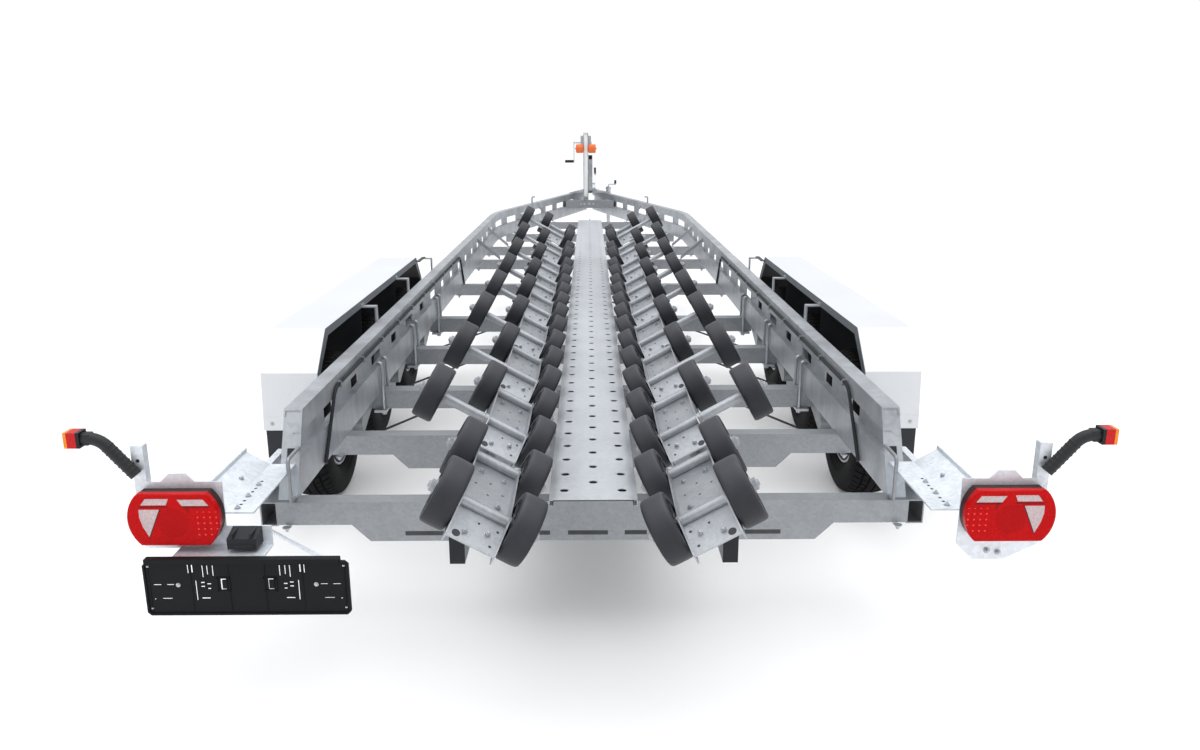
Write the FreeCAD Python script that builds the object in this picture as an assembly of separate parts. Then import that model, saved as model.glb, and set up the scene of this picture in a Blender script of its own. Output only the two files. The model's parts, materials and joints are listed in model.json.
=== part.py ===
import FreeCAD, Part
import math
import os

V = FreeCAD.Vector
os.makedirs("parts", exist_ok=True)

# A braked three-axle boat trailer of galvanised steel, about eleven metres long.
# Millimetres. +Y points to the coupling, +X to the right seen from behind, +Z up.
# The origin is on the ground under the middle of the whole trailer.
# Places along the trailer are named "..._from_rear": the distance from its rearmost point.

# Overall sizes and the ground
overall_length = 11020.0
overrun = 10.0
running_gap = 0.05
seat_gap = 0.3
moving_gap = 5.0

# Side rails: deep joggled C sections that bend inwards to form the drawbar
rail_rear_from_rear = 620.0
rail_bend_from_rear = 7160.0
rail_half_width = 970.0
rail_bend_radius = 2150.0
drawbar_angle = 15.0
drawbar_tip_from_front = 320.0
drawbar_tip_from_rear = overall_length - drawbar_tip_from_front
rail_top_height = 665.0
rail_depth = 255.0
rail_flange = 58.0
rail_wall = 5.0
rail_lip = 22.0
rail_rake = 130.0
upper_chord_depth = 68.0
lower_chord_depth = 118.0
web_joggle = 24.0
window_edge = 2.0
window_length = 112.0
axle_window_length = 172.0
drawbar_window_count = 7
drawbar_window_length = 270.0
drawbar_window_pitch = 440.0
drawbar_window_first = 290.0
end_hole_width = 24.0
end_hole_height = 30.0

# Crossmembers, bolted under the side rails, and the braces from the rails down to them
cross_height = 75.0
cross_length = 60.0
cross_wall = 5.0
cross_from_rear = (600.0, 1240.0, 4615.0, 5860.0, 6720.0, 7760.0, 8980.0)
gusset_length = 90.0
belly_half_width = 745.0
belly_drop = 34.0
brace_width = 30.0
brace_wall = 6.0
brace_run = 320.0
brace_inset = 150.0
brace_rise = 220.0
hook_from_rear = 8560.0
hook_height = 70.0
hook_radius = 8.0

# Walkway between the roller rows
walk_width = 270.0
walk_depth = 22.0
walk_wall = 4.0
walk_rear_from_rear = 560.0
walk_front_from_rear = 9030.0

# Roller beams, which lie on the crossmembers and carry the rocking cradles
beam_offset = 360.0
beam_width = 40.0
beam_height = 80.0
beam_rear_from_rear = 180.0
beam_front_from_rear = 6300.0
beam_cap_wall = 5.0

# Rocking cradles with their rollers
cradle_count = 9
cradle_pitch = 660.0
cradle_first_from_rear = 273.0
cradle_tilt = 29.0
cradle_offset = 277.0
cradle_axis_height = 588.0
cradle_rise_step = 11.0
cradle_level_count = 6
axle_spacing = 330.0
channel_width = 136.0
channel_wall = 4.0
channel_above = 17.0
channel_below = 72.0
channel_end_below = 46.0
channel_shoulder = 22.0
channel_overhang = 108.0
cover_below_axle = 9.0
pivot_below = 44.0
pivot_radius = 10.0
pivot_ear_wall = 6.0
pivot_ear_inner = 25.0
pivot_ear_outer = 55.0
pivot_ear_width = 60.0
pivot_ear_tip = 18.0
pivot_ear_length = 52.0
packer_height = 46.0
roller_axle_radius = 12.0
roller_radius = 92.0
roller_width = 66.0
roller_crown = 6.0
roller_edge = 10.0
roller_recess = 12.0
roller_hub_radius = 26.0
roller_rim = 16.0
roller_column = 104.0
outer_column = 256.0
roller_cap = 12.0

# Axles with trailing arms
axle_first_from_rear = 1890.0
axle_pitch = 780.0
axle_side = 80.0
axle_half_length = 955.0
arm_length = 165.0
arm_width = 28.0
arm_radius = 38.0
arm_offset = 978.0
stub_radius = 20.0
backplate_radius = 128.0
backplate_wall = 8.0
backplate_offset = 1008.0
clamp_length = 140.0
clamp_wall = 10.0
u_bolt_radius = 7.0
u_bolt_nut = 11.0
u_bolt_gap = 2.5
u_bolt_bend = 14.0

# Wheels
tyre_radius = 308.0
tyre_width = 185.0
tyre_offset = 1137.5
tyre_crown = 8.0
tyre_shoulder = 26.0
tyre_bulge = 7.0
rim_radius = 178.0
rim_seat_width = 140.0
rim_wall = 9.0
disc_offset = 34.0
disc_wall = 8.0
hub_radius = 62.0
hub_cap_radius = 32.0
hub_cap_length = 34.0
drum_radius = 122.0
drum_length = 62.0
drum_gap = 1.5
hand_hole_radius = 17.0
hand_hole_circle = 147.5
hand_hole_count = 8

# Mudguards
guard_outer = 1250.0
guard_inner = 1035.0
guard_top_height = 760.0
guard_knee_height = 620.0
guard_low_height = 400.0
guard_rear_from_rear = 1335.0
guard_front_from_rear = 3675.0
guard_slope = 165.0
guard_lean = 18.0
guard_wall = 3.0
guard_skirt = 95.0
guard_lip = 32.0
guard_stay_width = 40.0
guard_stay_wall = 6.0

# Lighting boards and lamps
light_plate_inner = 925.0
light_plate_split = 1002.0
light_plate_outer = 1070.0
light_plate_rise = 40.0
light_plate_height = 505.0
light_plate_wall = 5.0
light_plate_rear_from_rear = 205.0
light_plate_start_from_rear = 292.0
light_plate_lip = 18.0
lamp_board_inner = 968.0
lamp_board_outer = 1186.0
lamp_board_bottom = 446.0
lamp_board_top = 632.0
lamp_board_foot = 44.0
lamp_board_crest = 22.0
lamp_offset = 1082.0
lamp_height_centre = 546.0
lamp_width = 236.0
lamp_height = 142.0
lamp_depth = 52.0
lamp_corner = 26.0
marker_post_offset = 1177.0
marker_post_width = 32.0
marker_post_bottom = 560.0
marker_post_top = 730.0
marker_post_flange = 26.0
marker_arm_radius = 16.0
marker_arm_rise = 100.0
marker_arm_reach = 123.0
marker_arm_level = 40.0
marker_arm_bend = 60.0
marker_arm_bottom = 657.0
marker_lamp_length = 40.0
marker_lamp_height = 41.0
marker_lamp_width = 40.0
socket_width = 52.0
socket_height = 78.0
socket_length = 210.0
socket_wall = 4.0
loop_radius = 6.0
loop_width = 40.0
loop_height = 138.0
loop_bend = 14.0

# Number plate holder and its lamp, on the left board
holder_inner = 630.0
holder_width = 525.0
holder_height = 150.0
holder_bottom = 300.0
holder_wall = 10.0
holder_rim = 6.0
holder_lip = 3.0
holder_from_rear = 120.0
holder_board_inner = 850.0
holder_board_margin = 100.0
holder_board_top = 508.0
plate_lamp_width = 76.0
plate_lamp_height = 44.0
plate_lamp_depth = 52.0
plate_lamp_offset = 912.0
plate_lamp_centre = 486.0
plate_lamp_slope = 14.0
stay_radius = 6.0

# Winch post, winch and bow roller
post_from_front = 1220.0
post_from_rear = overall_length - post_from_front
post_offset = -46.0
post_side = 60.0
post_wall = 4.0
post_top_height = 1410.0
post_foot_length = 120.0
post_foot_height = 90.0
post_foot_below_rail = 65.0
post_foot_wall = 8.0
post_brace_width = 50.0
post_brace_length = 360.0
post_brace_rise = 480.0
winch_below_top = 120.0
winch_height = post_top_height - winch_below_top
winch_width = 130.0
winch_wall = 4.0
winch_drum_radius = 34.0
winch_flange_radius = 66.0
winch_flange_wall = 4.0
winch_shaft_radius = 10.0
winch_shaft_overhang = 86.0
winch_tie_radius = 6.0
winch_shaft_margin = 18.0
crank_radius = 240.0
crank_bar = 9.0
crank_half_width = 16.0
crank_grip_radius = 14.0
crank_grip_length = 105.0
bow_roller_radius = 52.0
bow_roller_length = 92.0
bow_roller_below_top = 188.0
bow_roller_height = post_top_height - bow_roller_below_top
bow_pin_radius = 9.0
bow_roller_set_back = 24.0

# Coupling at the tip of the drawbar
coupling_housing_length = 420.0
coupling_housing_width = 132.0
coupling_housing_height = 84.0
coupling_base_wall = 10.0
coupling_shaft_radius = 27.0
coupling_bellows_radius = 40.0
coupling_bellows_waist = 33.0
coupling_bellows_count = 6
coupling_head_length = 190.0
coupling_head_width = 76.0
coupling_head_height = 60.0
coupling_grip_length = 150.0
coupling_grip_rise = 62.0
coupling_grip_width = 26.0
ball_radius = 25.2
ball_depth = 42.0
brake_lever_from_front = 620.0
brake_lever_from_rear = overall_length - brake_lever_from_front
brake_lever_length = 330.0
brake_lever_lean = 45.0
brake_lever_width = 28.0
brake_lever_wall = 9.0
brake_grip_radius = 15.0
brake_grip_length = 110.0

# Jockey wheel beside the drawbar
jockey_from_front = 640.0
jockey_from_rear = overall_length - jockey_from_front
jockey_gap = 30.0
jockey_tube_radius = 30.0
jockey_tube_length = 290.0
jockey_tube_top = 722.0
jockey_collar_radius = 36.0
jockey_collar_height = 26.0
jockey_inner_radius = 24.0
jockey_wheel_radius = 100.0
jockey_wheel_width = 56.0
jockey_tread = 12.0
jockey_trail = 48.0
jockey_fork_wall = 6.0
jockey_crown_wall = 14.0
jockey_crown_gap = 8.0
jockey_fork_gap = 5.0
jockey_pin_radius = 8.0
jockey_handle_height = 36.0
jockey_handle_reach = 88.0
jockey_handle_rise = 52.0
jockey_bar = 7.0
jockey_clamp_length = 74.0
jockey_clamp_height = 120.0

# Brake cables and wiring, held by the frame all the way
cable_radius = 5.0
cable_centre_offset = 60.0
cable_forward = 1300.0
cable_drop = 86.0
equaliser_radius = 7.0
equaliser_front_from_front = 770.0
equaliser_front_from_rear = overall_length - equaliser_front_from_front
wiring_radius = 6.0
wiring_rear_from_rear = 930.0
wiring_front_from_rear = 4645.0
wiring_slope = 180.0
wiring_bend = 90.0

# Values that follow from the sizes above
rear_end = -overall_length / 2.0
rail_bottom_height = rail_top_height - rail_depth
cross_bottom_height = rail_bottom_height - cross_height
axle_height = rail_bottom_height - axle_side / 2.0
beam_top_height = rail_bottom_height + beam_height
angle = math.radians(drawbar_angle)
tilt = math.radians(cradle_tilt)


def along(from_rear):
    """Row coordinate of a place named by its distance from the rear end."""
    return rear_end + from_rear


def block(x0, x1, y0, y1, z0, z1):
    """Box between two opposite corners."""
    return Part.makeBox(x1 - x0, y1 - y0, z1 - z0, V(x0, y0, z0))


def rod(radius, start, end):
    """Round bar between two points."""
    return Part.makeCylinder(radius, (end - start).Length, start, end - start)


def prism(points, depth):
    """Solid from a closed outline of points, pushed along the depth vector."""
    return Part.Face(Part.makePolygon(points + points[:1])).extrude(depth)


def turned(points, origin, axis):
    """Solid of revolution of a closed outline."""
    return Part.Face(Part.makePolygon(points + points[:1])).revolve(origin, axis, 360)


def fuse(shapes):
    """One solid of several that meet."""
    return shapes[0].multiFuse(shapes[1:]).removeSplitter()


def routed(points, bend, radius):
    """Round lead along straight runs joined by arcs of one radius."""
    edges = []
    last = points[0]
    for before, corner, after in zip(points, points[1:], points[2:]):
        a = (before - corner).normalize()
        b = (after - corner).normalize()
        half = a.getAngle(b) / 2.0
        middle = (a + b).normalize()
        centre = corner + middle * (bend / math.sin(half))
        start = corner + a * (bend / math.tan(half))
        end = corner + b * (bend / math.tan(half))
        edges.append(Part.LineSegment(last, start).toShape())
        edges.append(Part.Arc(start, centre - middle * bend, end).toShape())
        last = end
    edges.append(Part.LineSegment(last, points[-1]).toShape())
    run = points[1] - points[0]
    section = Part.Wire(Part.Circle(points[0], run, radius).toShape())
    return Part.Wire(edges).makePipeShell([section], True, False)


def mirror(shape):
    """The same piece on the other side of the trailer."""
    return shape.mirror(V(0, 0, 0), V(1, 0, 0))


def save(name, shapes):
    """Write the solids of one node."""
    shapes = shapes if isinstance(shapes, list) else [shapes]
    solids = []
    for shape in shapes:
        solids.extend(shape.Solids)
    Part.makeCompound(solids).exportStep(f"parts/{name}.step")


# Side rails
bend_centre = V(rail_half_width - rail_bend_radius, along(rail_bend_from_rear), 0)


def bend_point(offset, share):
    """Point of the bend's arc, offset inwards from the outer face."""
    turn = angle * share
    radius = rail_bend_radius - offset
    return bend_centre + V(radius * math.cos(turn), radius * math.sin(turn), 0)


def drawbar_point(offset, y):
    """Point of the straight drawbar stretch at a place along the trailer."""
    start = bend_point(offset, 1)
    return V(start.x - (y - start.y) * math.tan(angle), y, 0)


def rail_strip(outer, inner, low, high, y_rear, y_front):
    """Part of the rail's plan between two offsets from its outer face, from low to high."""
    a = V(rail_half_width - outer, y_rear, 0)
    b = bend_point(outer, 0)
    c = bend_point(outer, 1)
    d = drawbar_point(outer, y_front)
    e = drawbar_point(inner, y_front)
    f = bend_point(inner, 1)
    g = bend_point(inner, 0)
    h = V(rail_half_width - inner, y_rear, 0)
    edges = [
        Part.LineSegment(a, b).toShape(),
        Part.Arc(b, bend_point(outer, 0.5), c).toShape(),
        Part.LineSegment(c, d).toShape(),
        Part.LineSegment(d, e).toShape(),
        Part.LineSegment(e, f).toShape(),
        Part.Arc(f, bend_point(inner, 0.5), g).toShape(),
        Part.LineSegment(g, h).toShape(),
        Part.LineSegment(h, a).toShape(),
    ]
    strip = Part.Face(Part.Wire(edges)).extrude(V(0, 0, high - low))
    strip.translate(V(0, 0, low))
    return strip


def window_places():
    """Middles and lengths of the windows along the straight stretch of the rail."""
    step = axle_pitch / 2.0
    first = axle_first_from_rear - step * int((axle_first_from_rear - cross_from_rear[0]) / step)
    places = []
    place = first
    while place < rail_bend_from_rear - step / 2.0:
        number = (place - axle_first_from_rear) / axle_pitch
        at_axle = abs(number - round(number)) < 0.1 and -0.1 < number < 2.1
        places.append((place, axle_window_length if at_axle else window_length))
        place += step
    return places


def side_rail():
    """Right side rail: joggled web on the inside, flanges outwards, windows and a raked end plate."""
    rear = along(rail_rear_from_rear)
    front = along(drawbar_tip_from_rear)
    low = rail_bottom_height
    high = rail_top_height
    upper = high - upper_chord_depth
    lower = low + lower_chord_depth
    inner = rail_flange
    joggle = rail_flange - web_joggle
    strips = [
        (0, inner, high - rail_wall, high), (inner - rail_wall, inner, upper, high),
        (joggle - rail_wall, inner, upper, upper + rail_wall),
        (joggle - rail_wall, joggle, lower - rail_wall, upper + rail_wall),
        (joggle - rail_wall, inner, lower - rail_wall, lower),
        (inner - rail_wall, inner, low, lower), (0, inner, low, low + rail_wall),
        (0, rail_wall, high - rail_lip, high), (0, rail_wall, low, low + rail_lip),
    ]
    rail = fuse([rail_strip(outer, inside, z0, z1, rear, front) for outer, inside, z0, z1 in strips])
    x_web = rail_half_width - joggle
    z0 = lower + window_edge
    z1 = upper - window_edge
    cuts = []
    for place, length in window_places():
        y = along(place) - length / 2.0
        cuts.append(block(x_web - rail_wall, x_web + rail_wall + rail_wall, y, y + length, z0, z1))
    bend_length = angle * (rail_bend_radius - joggle)
    half = drawbar_window_length / 2.0
    for k in range(drawbar_window_count):
        run = drawbar_window_first + k * drawbar_window_pitch
        share = min(run / bend_length, 1)
        hole = block(-rail_wall, rail_wall + rail_wall, -half, half, z0, z1)
        hole.translate(V(0, run - share * bend_length, 0))
        hole.rotate(V(0, 0, 0), V(0, 0, 1), share * drawbar_angle)
        hole.translate(bend_point(joggle, share))
        cuts.append(hole)
    x_in = rail_half_width - rail_flange
    rake = prism([V(x_in - overrun, rear - overrun, low), V(x_in - overrun, rear - overrun, high + overrun),
                  V(x_in - overrun, rear + rail_rake, high + overrun), V(x_in - overrun, rear, low)],
                 V(rail_flange + overrun + overrun, 0, 0))
    plate = prism([V(x_in, rear, low), V(x_in, rear + rail_rake, high),
                   V(x_in, rear + rail_rake + rail_wall, high), V(x_in, rear + rail_wall, low)],
                  V(rail_flange, 0, 0))
    x_mid = rail_half_width - rail_flange / 2.0
    z_mid = (low + high) / 2.0
    hole = block(x_mid - end_hole_width / 2.0, x_mid + end_hole_width / 2.0, rear, rear + rail_rake,
                 z_mid - end_hole_height / 2.0, z_mid + end_hole_height / 2.0)
    return fuse([rail.cut(Part.makeCompound(cuts)).cut(rake), plate.cut(hole)])


rail = side_rail()
save("side_rail_right", rail)
save("side_rail_left", mirror(rail))


# Crossmembers
def rail_face_at(y, offset):
    """Half width to a face of the rails, offset inwards from the outer one, at a place along the trailer."""
    if y <= bend_centre.y:
        return rail_half_width - offset
    if y <= bend_point(offset, 1).y:
        return bend_centre.x + math.sqrt((rail_bend_radius - offset) ** 2 - (y - bend_centre.y) ** 2)
    return drawbar_point(offset, y).x


def crossmember(from_rear):
    """Box section across the trailer under both rails."""
    y = along(from_rear)
    half = rail_face_at(y + cross_length, 0)
    low = cross_bottom_height
    outer = block(-half, half, y, y + cross_length, low, rail_bottom_height)
    inner = block(-half - overrun, half + overrun, y + cross_wall, y + cross_length - cross_wall,
                  low + cross_wall, rail_bottom_height - cross_wall)
    return outer.cut(inner)


def gusset(from_rear):
    """Triangular plate from the rail's lower edge down the end of a crossmember."""
    y = along(from_rear)
    x = rail_half_width - rail_flange
    z = cross_bottom_height
    return prism([V(x, y - cross_wall, rail_bottom_height), V(x - gusset_length, y - cross_wall,
                                                              rail_bottom_height),
                  V(x, y - cross_wall, z)], V(0, cross_wall, 0))


def belly(from_rear):
    """Stiffener under the middle of a crossmember."""
    y = along(from_rear)
    z = cross_bottom_height
    half = belly_half_width
    return prism([V(-half, y, z), V(half, y, z), V(half - belly_drop, y, z - belly_drop),
                  V(-half + belly_drop, y, z - belly_drop)], V(0, cross_length, 0))


def brace(from_rear):
    """Flat bar from the rail's upper chord down to the top of a crossmember."""
    y1 = along(from_rear) + cross_length / 2.0
    y0 = y1 - brace_run
    x0 = rail_face_at(y0 + brace_wall, rail_flange)
    x1 = x0 - brace_inset
    z1 = rail_bottom_height
    z0 = z1 + brace_rise
    start = V(x0, y0, z0)
    end = V(x1, y1, z1)
    up = V(0, brace_wall, 0)
    wide = V(0, 0, brace_width)
    bar = prism([start, start - wide, end, end + wide], up)
    foot = block(x1 - brace_width, x1, y1 - cross_length / 2.0, y1 + brace_wall, z1, z1 + brace_wall)
    return fuse([bar, foot])


def hook():
    """Small hook post on top of the drawbar rail."""
    y = along(hook_from_rear)
    x = rail_face_at(y, rail_flange / 2.0)
    z = rail_top_height
    top = V(x, y, z + hook_height)
    return routed([V(x, y, z), top, top - V(hook_height / 2.0, 0, 0)], hook_radius * 2.0, hook_radius)


def tie_loop():
    """Bent bar at the rail's raked rear end, for a tie-down strap."""
    x = rail_half_width - rail_flange + loop_radius
    y = along(rail_rear_from_rear)
    z0 = rail_bottom_height + loop_radius
    z1 = z0 + loop_height
    y1 = y + rail_rake * (z1 - rail_bottom_height) / rail_depth
    path = [V(x, y, z0), V(x, y - loop_width, z0), V(x, y - loop_width, z1), V(x, y1, z1)]
    bar = routed(path, loop_bend, loop_radius)
    beyond = prism([V(x - rail_flange, y, rail_bottom_height - overrun), V(x - rail_flange, y,
                                                                           rail_bottom_height),
                    V(x - rail_flange, y + rail_rake, rail_top_height),
                    V(x - rail_flange, y + rail_rake + rail_rake, rail_bottom_height - overrun)],
                   V(rail_flange + rail_flange, 0, 0))
    return bar.cut(beyond)


members = [crossmember(place) for place in cross_from_rear]
for number in (0, 1):
    pair = gusset(cross_from_rear[number])
    members[number] = fuse([members[number], pair, mirror(pair), belly(cross_from_rear[number])])
braced = cross_from_rear[3:5] + cross_from_rear[-1:]
fittings = [brace(place) for place in braced] + [hook(), tie_loop()]
save("crossmembers", members)
save("rail_fittings", fittings + [mirror(shape) for shape in fittings])


# Walkway
def walkway():
    """Shallow channel plate, open side down, lying on the crossmembers."""
    half = walk_width / 2.0
    y0 = along(walk_rear_from_rear)
    y1 = along(walk_front_from_rear)
    low = rail_bottom_height
    outer = block(-half, half, y0, y1, low, low + walk_depth)
    inner = block(-half + walk_wall, half - walk_wall, y0 - overrun, y1 + overrun,
                  low - overrun, low + walk_depth - walk_wall)
    return outer.cut(inner)


save("walkway", walkway())


# Roller beams and rocking cradles
def cradle_rise(index):
    """The foremost cradles stand higher, where the hull's sides rise."""
    return cradle_rise_step * max(0, index - cradle_level_count + 1) ** 2


def cradle_centre(index):
    """Middle of a cradle on its roller axis plane, on the right side."""
    return V(cradle_offset, along(cradle_first_from_rear + index * cradle_pitch),
             cradle_axis_height + cradle_rise(index))


def seated(shape, index):
    """Turn a piece from the cradle's own axes to its place on the right side."""
    shape.rotate(V(0, 0, 0), V(0, 1, 0), -cradle_tilt)
    shape.translate(cradle_centre(index))
    return shape


def pivot_bracket(index):
    """Two ears on a packer on the beam, with the pin on which a cradle rocks."""
    half = channel_width / 2.0
    pin = rod(pivot_radius, V(-half - channel_wall, 0, -pivot_below), V(half + channel_wall, 0, -pivot_below))
    ears = []
    for place in (pivot_ear_inner, pivot_ear_outer):
        x0 = place - pivot_ear_wall / 2.0
        x1 = place + pivot_ear_wall / 2.0
        ears.append(prism([V(x0, -pivot_ear_tip, -pivot_below), V(x0, pivot_ear_tip, -pivot_below),
                           V(x0, pivot_ear_width / 2.0, -pivot_below - pivot_ear_length),
                           V(x0, -pivot_ear_width / 2.0, -pivot_below - pivot_ear_length)],
                          V(pivot_ear_wall, 0, 0)))
        ears.append(rod(pivot_ear_tip, V(x0, 0, -pivot_below), V(x1, 0, -pivot_below)))
    bracket = seated(fuse([pin] + ears), index)
    y = cradle_centre(index).y
    top = beam_top_height + packer_height + cradle_rise(index)
    packer = block(beam_offset - beam_width / 2.0, beam_offset + beam_width / 2.0, y - pivot_ear_width / 2.0,
                   y + pivot_ear_width / 2.0, beam_top_height - overrun, top)
    return fuse([bracket, packer])


def roller_beam():
    """Box beam on the crossmembers with a bracket under each cradle."""
    x0 = beam_offset - beam_width / 2.0
    x1 = beam_offset + beam_width / 2.0
    y0 = along(beam_rear_from_rear)
    y1 = along(beam_front_from_rear)
    beam = block(x0, x1, y0, y1, rail_bottom_height, beam_top_height)
    return fuse([beam] + [pivot_bracket(index) for index in range(cradle_count)])


def beam_cap(from_rear, outwards):
    """Moulded cap on the end of a roller beam."""
    x0 = beam_offset - beam_width / 2.0
    y = along(from_rear)
    y0 = min(y, y + outwards * beam_cap_wall)
    return block(x0, x0 + beam_width, y0, y0 + beam_cap_wall, rail_bottom_height, beam_top_height)


def roller(column, y):
    """Crowned rubber roller with recessed sides, bored for its axle."""
    half = roller_width / 2.0
    bore = roller_axle_radius + seat_gap
    x = column
    outline = [
        V(x - half, 0, roller_hub_radius), V(x - half + roller_recess, 0, roller_hub_radius + roller_recess),
        V(x - half + roller_recess, 0, roller_radius - roller_rim - roller_recess),
        V(x - half, 0, roller_radius - roller_rim),
        V(x - half, 0, roller_radius - roller_edge - roller_crown),
        V(x - half + roller_edge, 0, roller_radius - roller_crown),
        V(x, 0, roller_radius),
        V(x + half - roller_edge, 0, roller_radius - roller_crown),
        V(x + half, 0, roller_radius - roller_edge - roller_crown),
        V(x + half, 0, roller_radius - roller_rim),
        V(x + half - roller_recess, 0, roller_radius - roller_rim - roller_recess),
        V(x + half - roller_recess, 0, roller_hub_radius + roller_recess),
        V(x + half, 0, roller_hub_radius),
        V(x + half, 0, bore), V(x - half, 0, bore),
    ]
    shape = turned(outline, V(0, 0, 0), V(1, 0, 0))
    shape.translate(V(0, y, 0))
    return shape


def cradle(index):
    """Saddle-shaped channel on two axles; most rear axles reach out to a third column of rollers."""
    half = channel_width / 2.0
    reach = axle_spacing / 2.0
    end = reach + channel_overhang
    side_outline = [(-end, -channel_below), (-end, -channel_end_below), (-reach - channel_shoulder,
                                                                         channel_above),
                    (reach + channel_shoulder, channel_above), (end, -channel_end_below), (end,
                                                                                           -channel_below)]
    sides = []
    for x in (-half, half - channel_wall):
        sides.append(prism([V(x, y, z) for y, z in side_outline], V(channel_wall, 0, 0)))
    cover_outline = [(-end, -channel_end_below - channel_wall), (-end, -channel_end_below - channel_wall * 2),
                     (-reach, -cover_below_axle - channel_wall), (reach, -cover_below_axle - channel_wall),
                     (end, -channel_end_below - channel_wall * 2), (end, -channel_end_below - channel_wall),
                     (reach, -cover_below_axle), (-reach, -cover_below_axle)]
    cover = prism([V(-half, y, z) for y, z in cover_outline], V(channel_width, 0, 0))
    inner_end = roller_column + roller_width / 2.0 + roller_cap
    rear_outer = roller_column if index == 0 else outer_column
    rollers = []
    axles = []
    for y, outer in ((-reach, rear_outer), (reach, roller_column)):
        outer_end = outer + roller_width / 2.0 + roller_cap
        axles.append(rod(roller_axle_radius, V(-inner_end, y, 0), V(outer_end, y, 0)))
        rollers.append(roller(-roller_column, y))
        rollers.append(roller(outer, y))
    frame = fuse(sides + [cover] + axles)
    bore = rod(pivot_radius + running_gap, V(-half - overrun, 0, -pivot_below),
               V(half + overrun, 0, -pivot_below))
    shape = Part.makeCompound([frame.cut(bore)] + rollers)
    return seated(shape, index)


beam = roller_beam()
save("roller_beams", [beam, mirror(beam)])
caps = [beam_cap(beam_rear_from_rear, -1), beam_cap(beam_front_from_rear, 1)]
save("beam_caps", caps + [mirror(shape) for shape in caps])
for index in range(cradle_count):
    shape = cradle(index)
    save(f"cradle_right_{index + 1}", shape)
    save(f"cradle_left_{index + 1}", mirror(shape))


# Axles
def axle_place(index):
    """Place of an axle tube along the trailer."""
    return along(axle_first_from_rear + index * axle_pitch)


def trailing_arm(y):
    """Arm, stub and brake backplate at the right end of an axle."""
    x0 = arm_offset - arm_width / 2.0
    x1 = arm_offset + arm_width / 2.0
    hub = V(x0, y - arm_length, tyre_radius)
    root = V(x0, y, axle_height)
    boss_root = rod(arm_radius, root, root + V(arm_width, 0, 0))
    boss_hub = rod(arm_radius, hub, hub + V(arm_width, 0, 0))
    run = hub - root
    side = V(0, -run.z, run.y)
    side.normalize()
    side.multiply(arm_radius)
    bar = prism([root + side, root - side, hub - side, hub + side], V(arm_width, 0, 0))
    spigot = rod(arm_radius / 2.0, V(axle_half_length - overrun, y, axle_height), V(x0 + overrun, y,
                                                                                    axle_height))
    plate = rod(backplate_radius, V(backplate_offset, hub.y, hub.z),
                V(backplate_offset + backplate_wall, hub.y, hub.z))
    stub = rod(stub_radius, V(x1 - overrun, hub.y, hub.z), V(tyre_offset + disc_offset, hub.y, hub.z))
    collar = rod(arm_radius, V(x1 - overrun, hub.y, hub.z), V(backplate_offset + overrun / 2.0, hub.y, hub.z))
    return fuse([boss_root, boss_hub, bar, spigot, plate, stub, collar])


def axle(index):
    """Square axle tube across the trailer with both arms."""
    y = axle_place(index)
    half = axle_side / 2.0
    tube = block(-axle_half_length, axle_half_length, y - half, y + half, axle_height - half,
                 axle_height + half)
    arm = trailing_arm(y)
    return fuse([tube, arm, mirror(arm)])


def u_bolt(y):
    """Square U-bolt over the lower chord, with its legs through the plate under the axle."""
    x_in = rail_half_width - rail_flange - u_bolt_radius - u_bolt_gap
    x_out = rail_half_width - rail_flange + rail_wall + u_bolt_radius + u_bolt_gap
    low = axle_height - axle_side / 2.0 - clamp_wall - u_bolt_nut
    high = rail_bottom_height + lower_chord_depth + u_bolt_radius + u_bolt_gap
    bar = routed([V(x_in, y, low), V(x_in, y, high), V(x_out, y, high)], u_bolt_bend, u_bolt_radius)
    nut = rod(u_bolt_nut, V(x_in, y, low), V(x_in, y, low + u_bolt_nut))
    return fuse([bar, nut])


def axle_clamp(index):
    """Plate under the axle tube with two U-bolts up round the right rail's lower chord."""
    y = axle_place(index)
    x0 = rail_half_width - rail_flange - u_bolt_nut * 2 - u_bolt_gap
    x1 = rail_half_width - rail_flange / 2.0
    half = clamp_length / 2.0
    low = axle_height - axle_side / 2.0
    shapes = [block(x0, x1, y - half, y + half, low - clamp_wall, low)]
    for side in (-1, 1):
        shapes.append(u_bolt(y + side * (axle_side / 2.0 + u_bolt_radius + u_bolt_gap)))
    return fuse(shapes)


save("axles", [axle(index) for index in range(3)])
clamps = [axle_clamp(index) for index in range(3)]
save("axle_clamps", clamps + [mirror(shape) for shape in clamps])


# Wheels
def tyre(place):
    """Tyre on the right side; its tread lies between two rounded shoulders."""
    half = tyre_width / 2.0
    seat = rim_seat_width / 2.0
    inner = rim_radius + seat_gap
    x = tyre_offset
    outline = [
        V(x - seat, 0, inner), V(x - half, 0, inner + tyre_shoulder),
        V(x - half, 0, (inner + tyre_radius) / 2.0),
        V(x - half + tyre_bulge, 0, tyre_radius - tyre_shoulder),
        V(x - half + tyre_shoulder, 0, tyre_radius - tyre_crown),
        V(x, 0, tyre_radius),
        V(x + half - tyre_shoulder, 0, tyre_radius - tyre_crown),
        V(x + half - tyre_bulge, 0, tyre_radius - tyre_shoulder),
        V(x + half, 0, (inner + tyre_radius) / 2.0),
        V(x + half, 0, inner + tyre_shoulder), V(x + seat, 0, inner),
    ]
    shape = turned(outline, V(0, 0, 0), V(1, 0, 0))
    shape.translate(place)
    return shape


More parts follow.
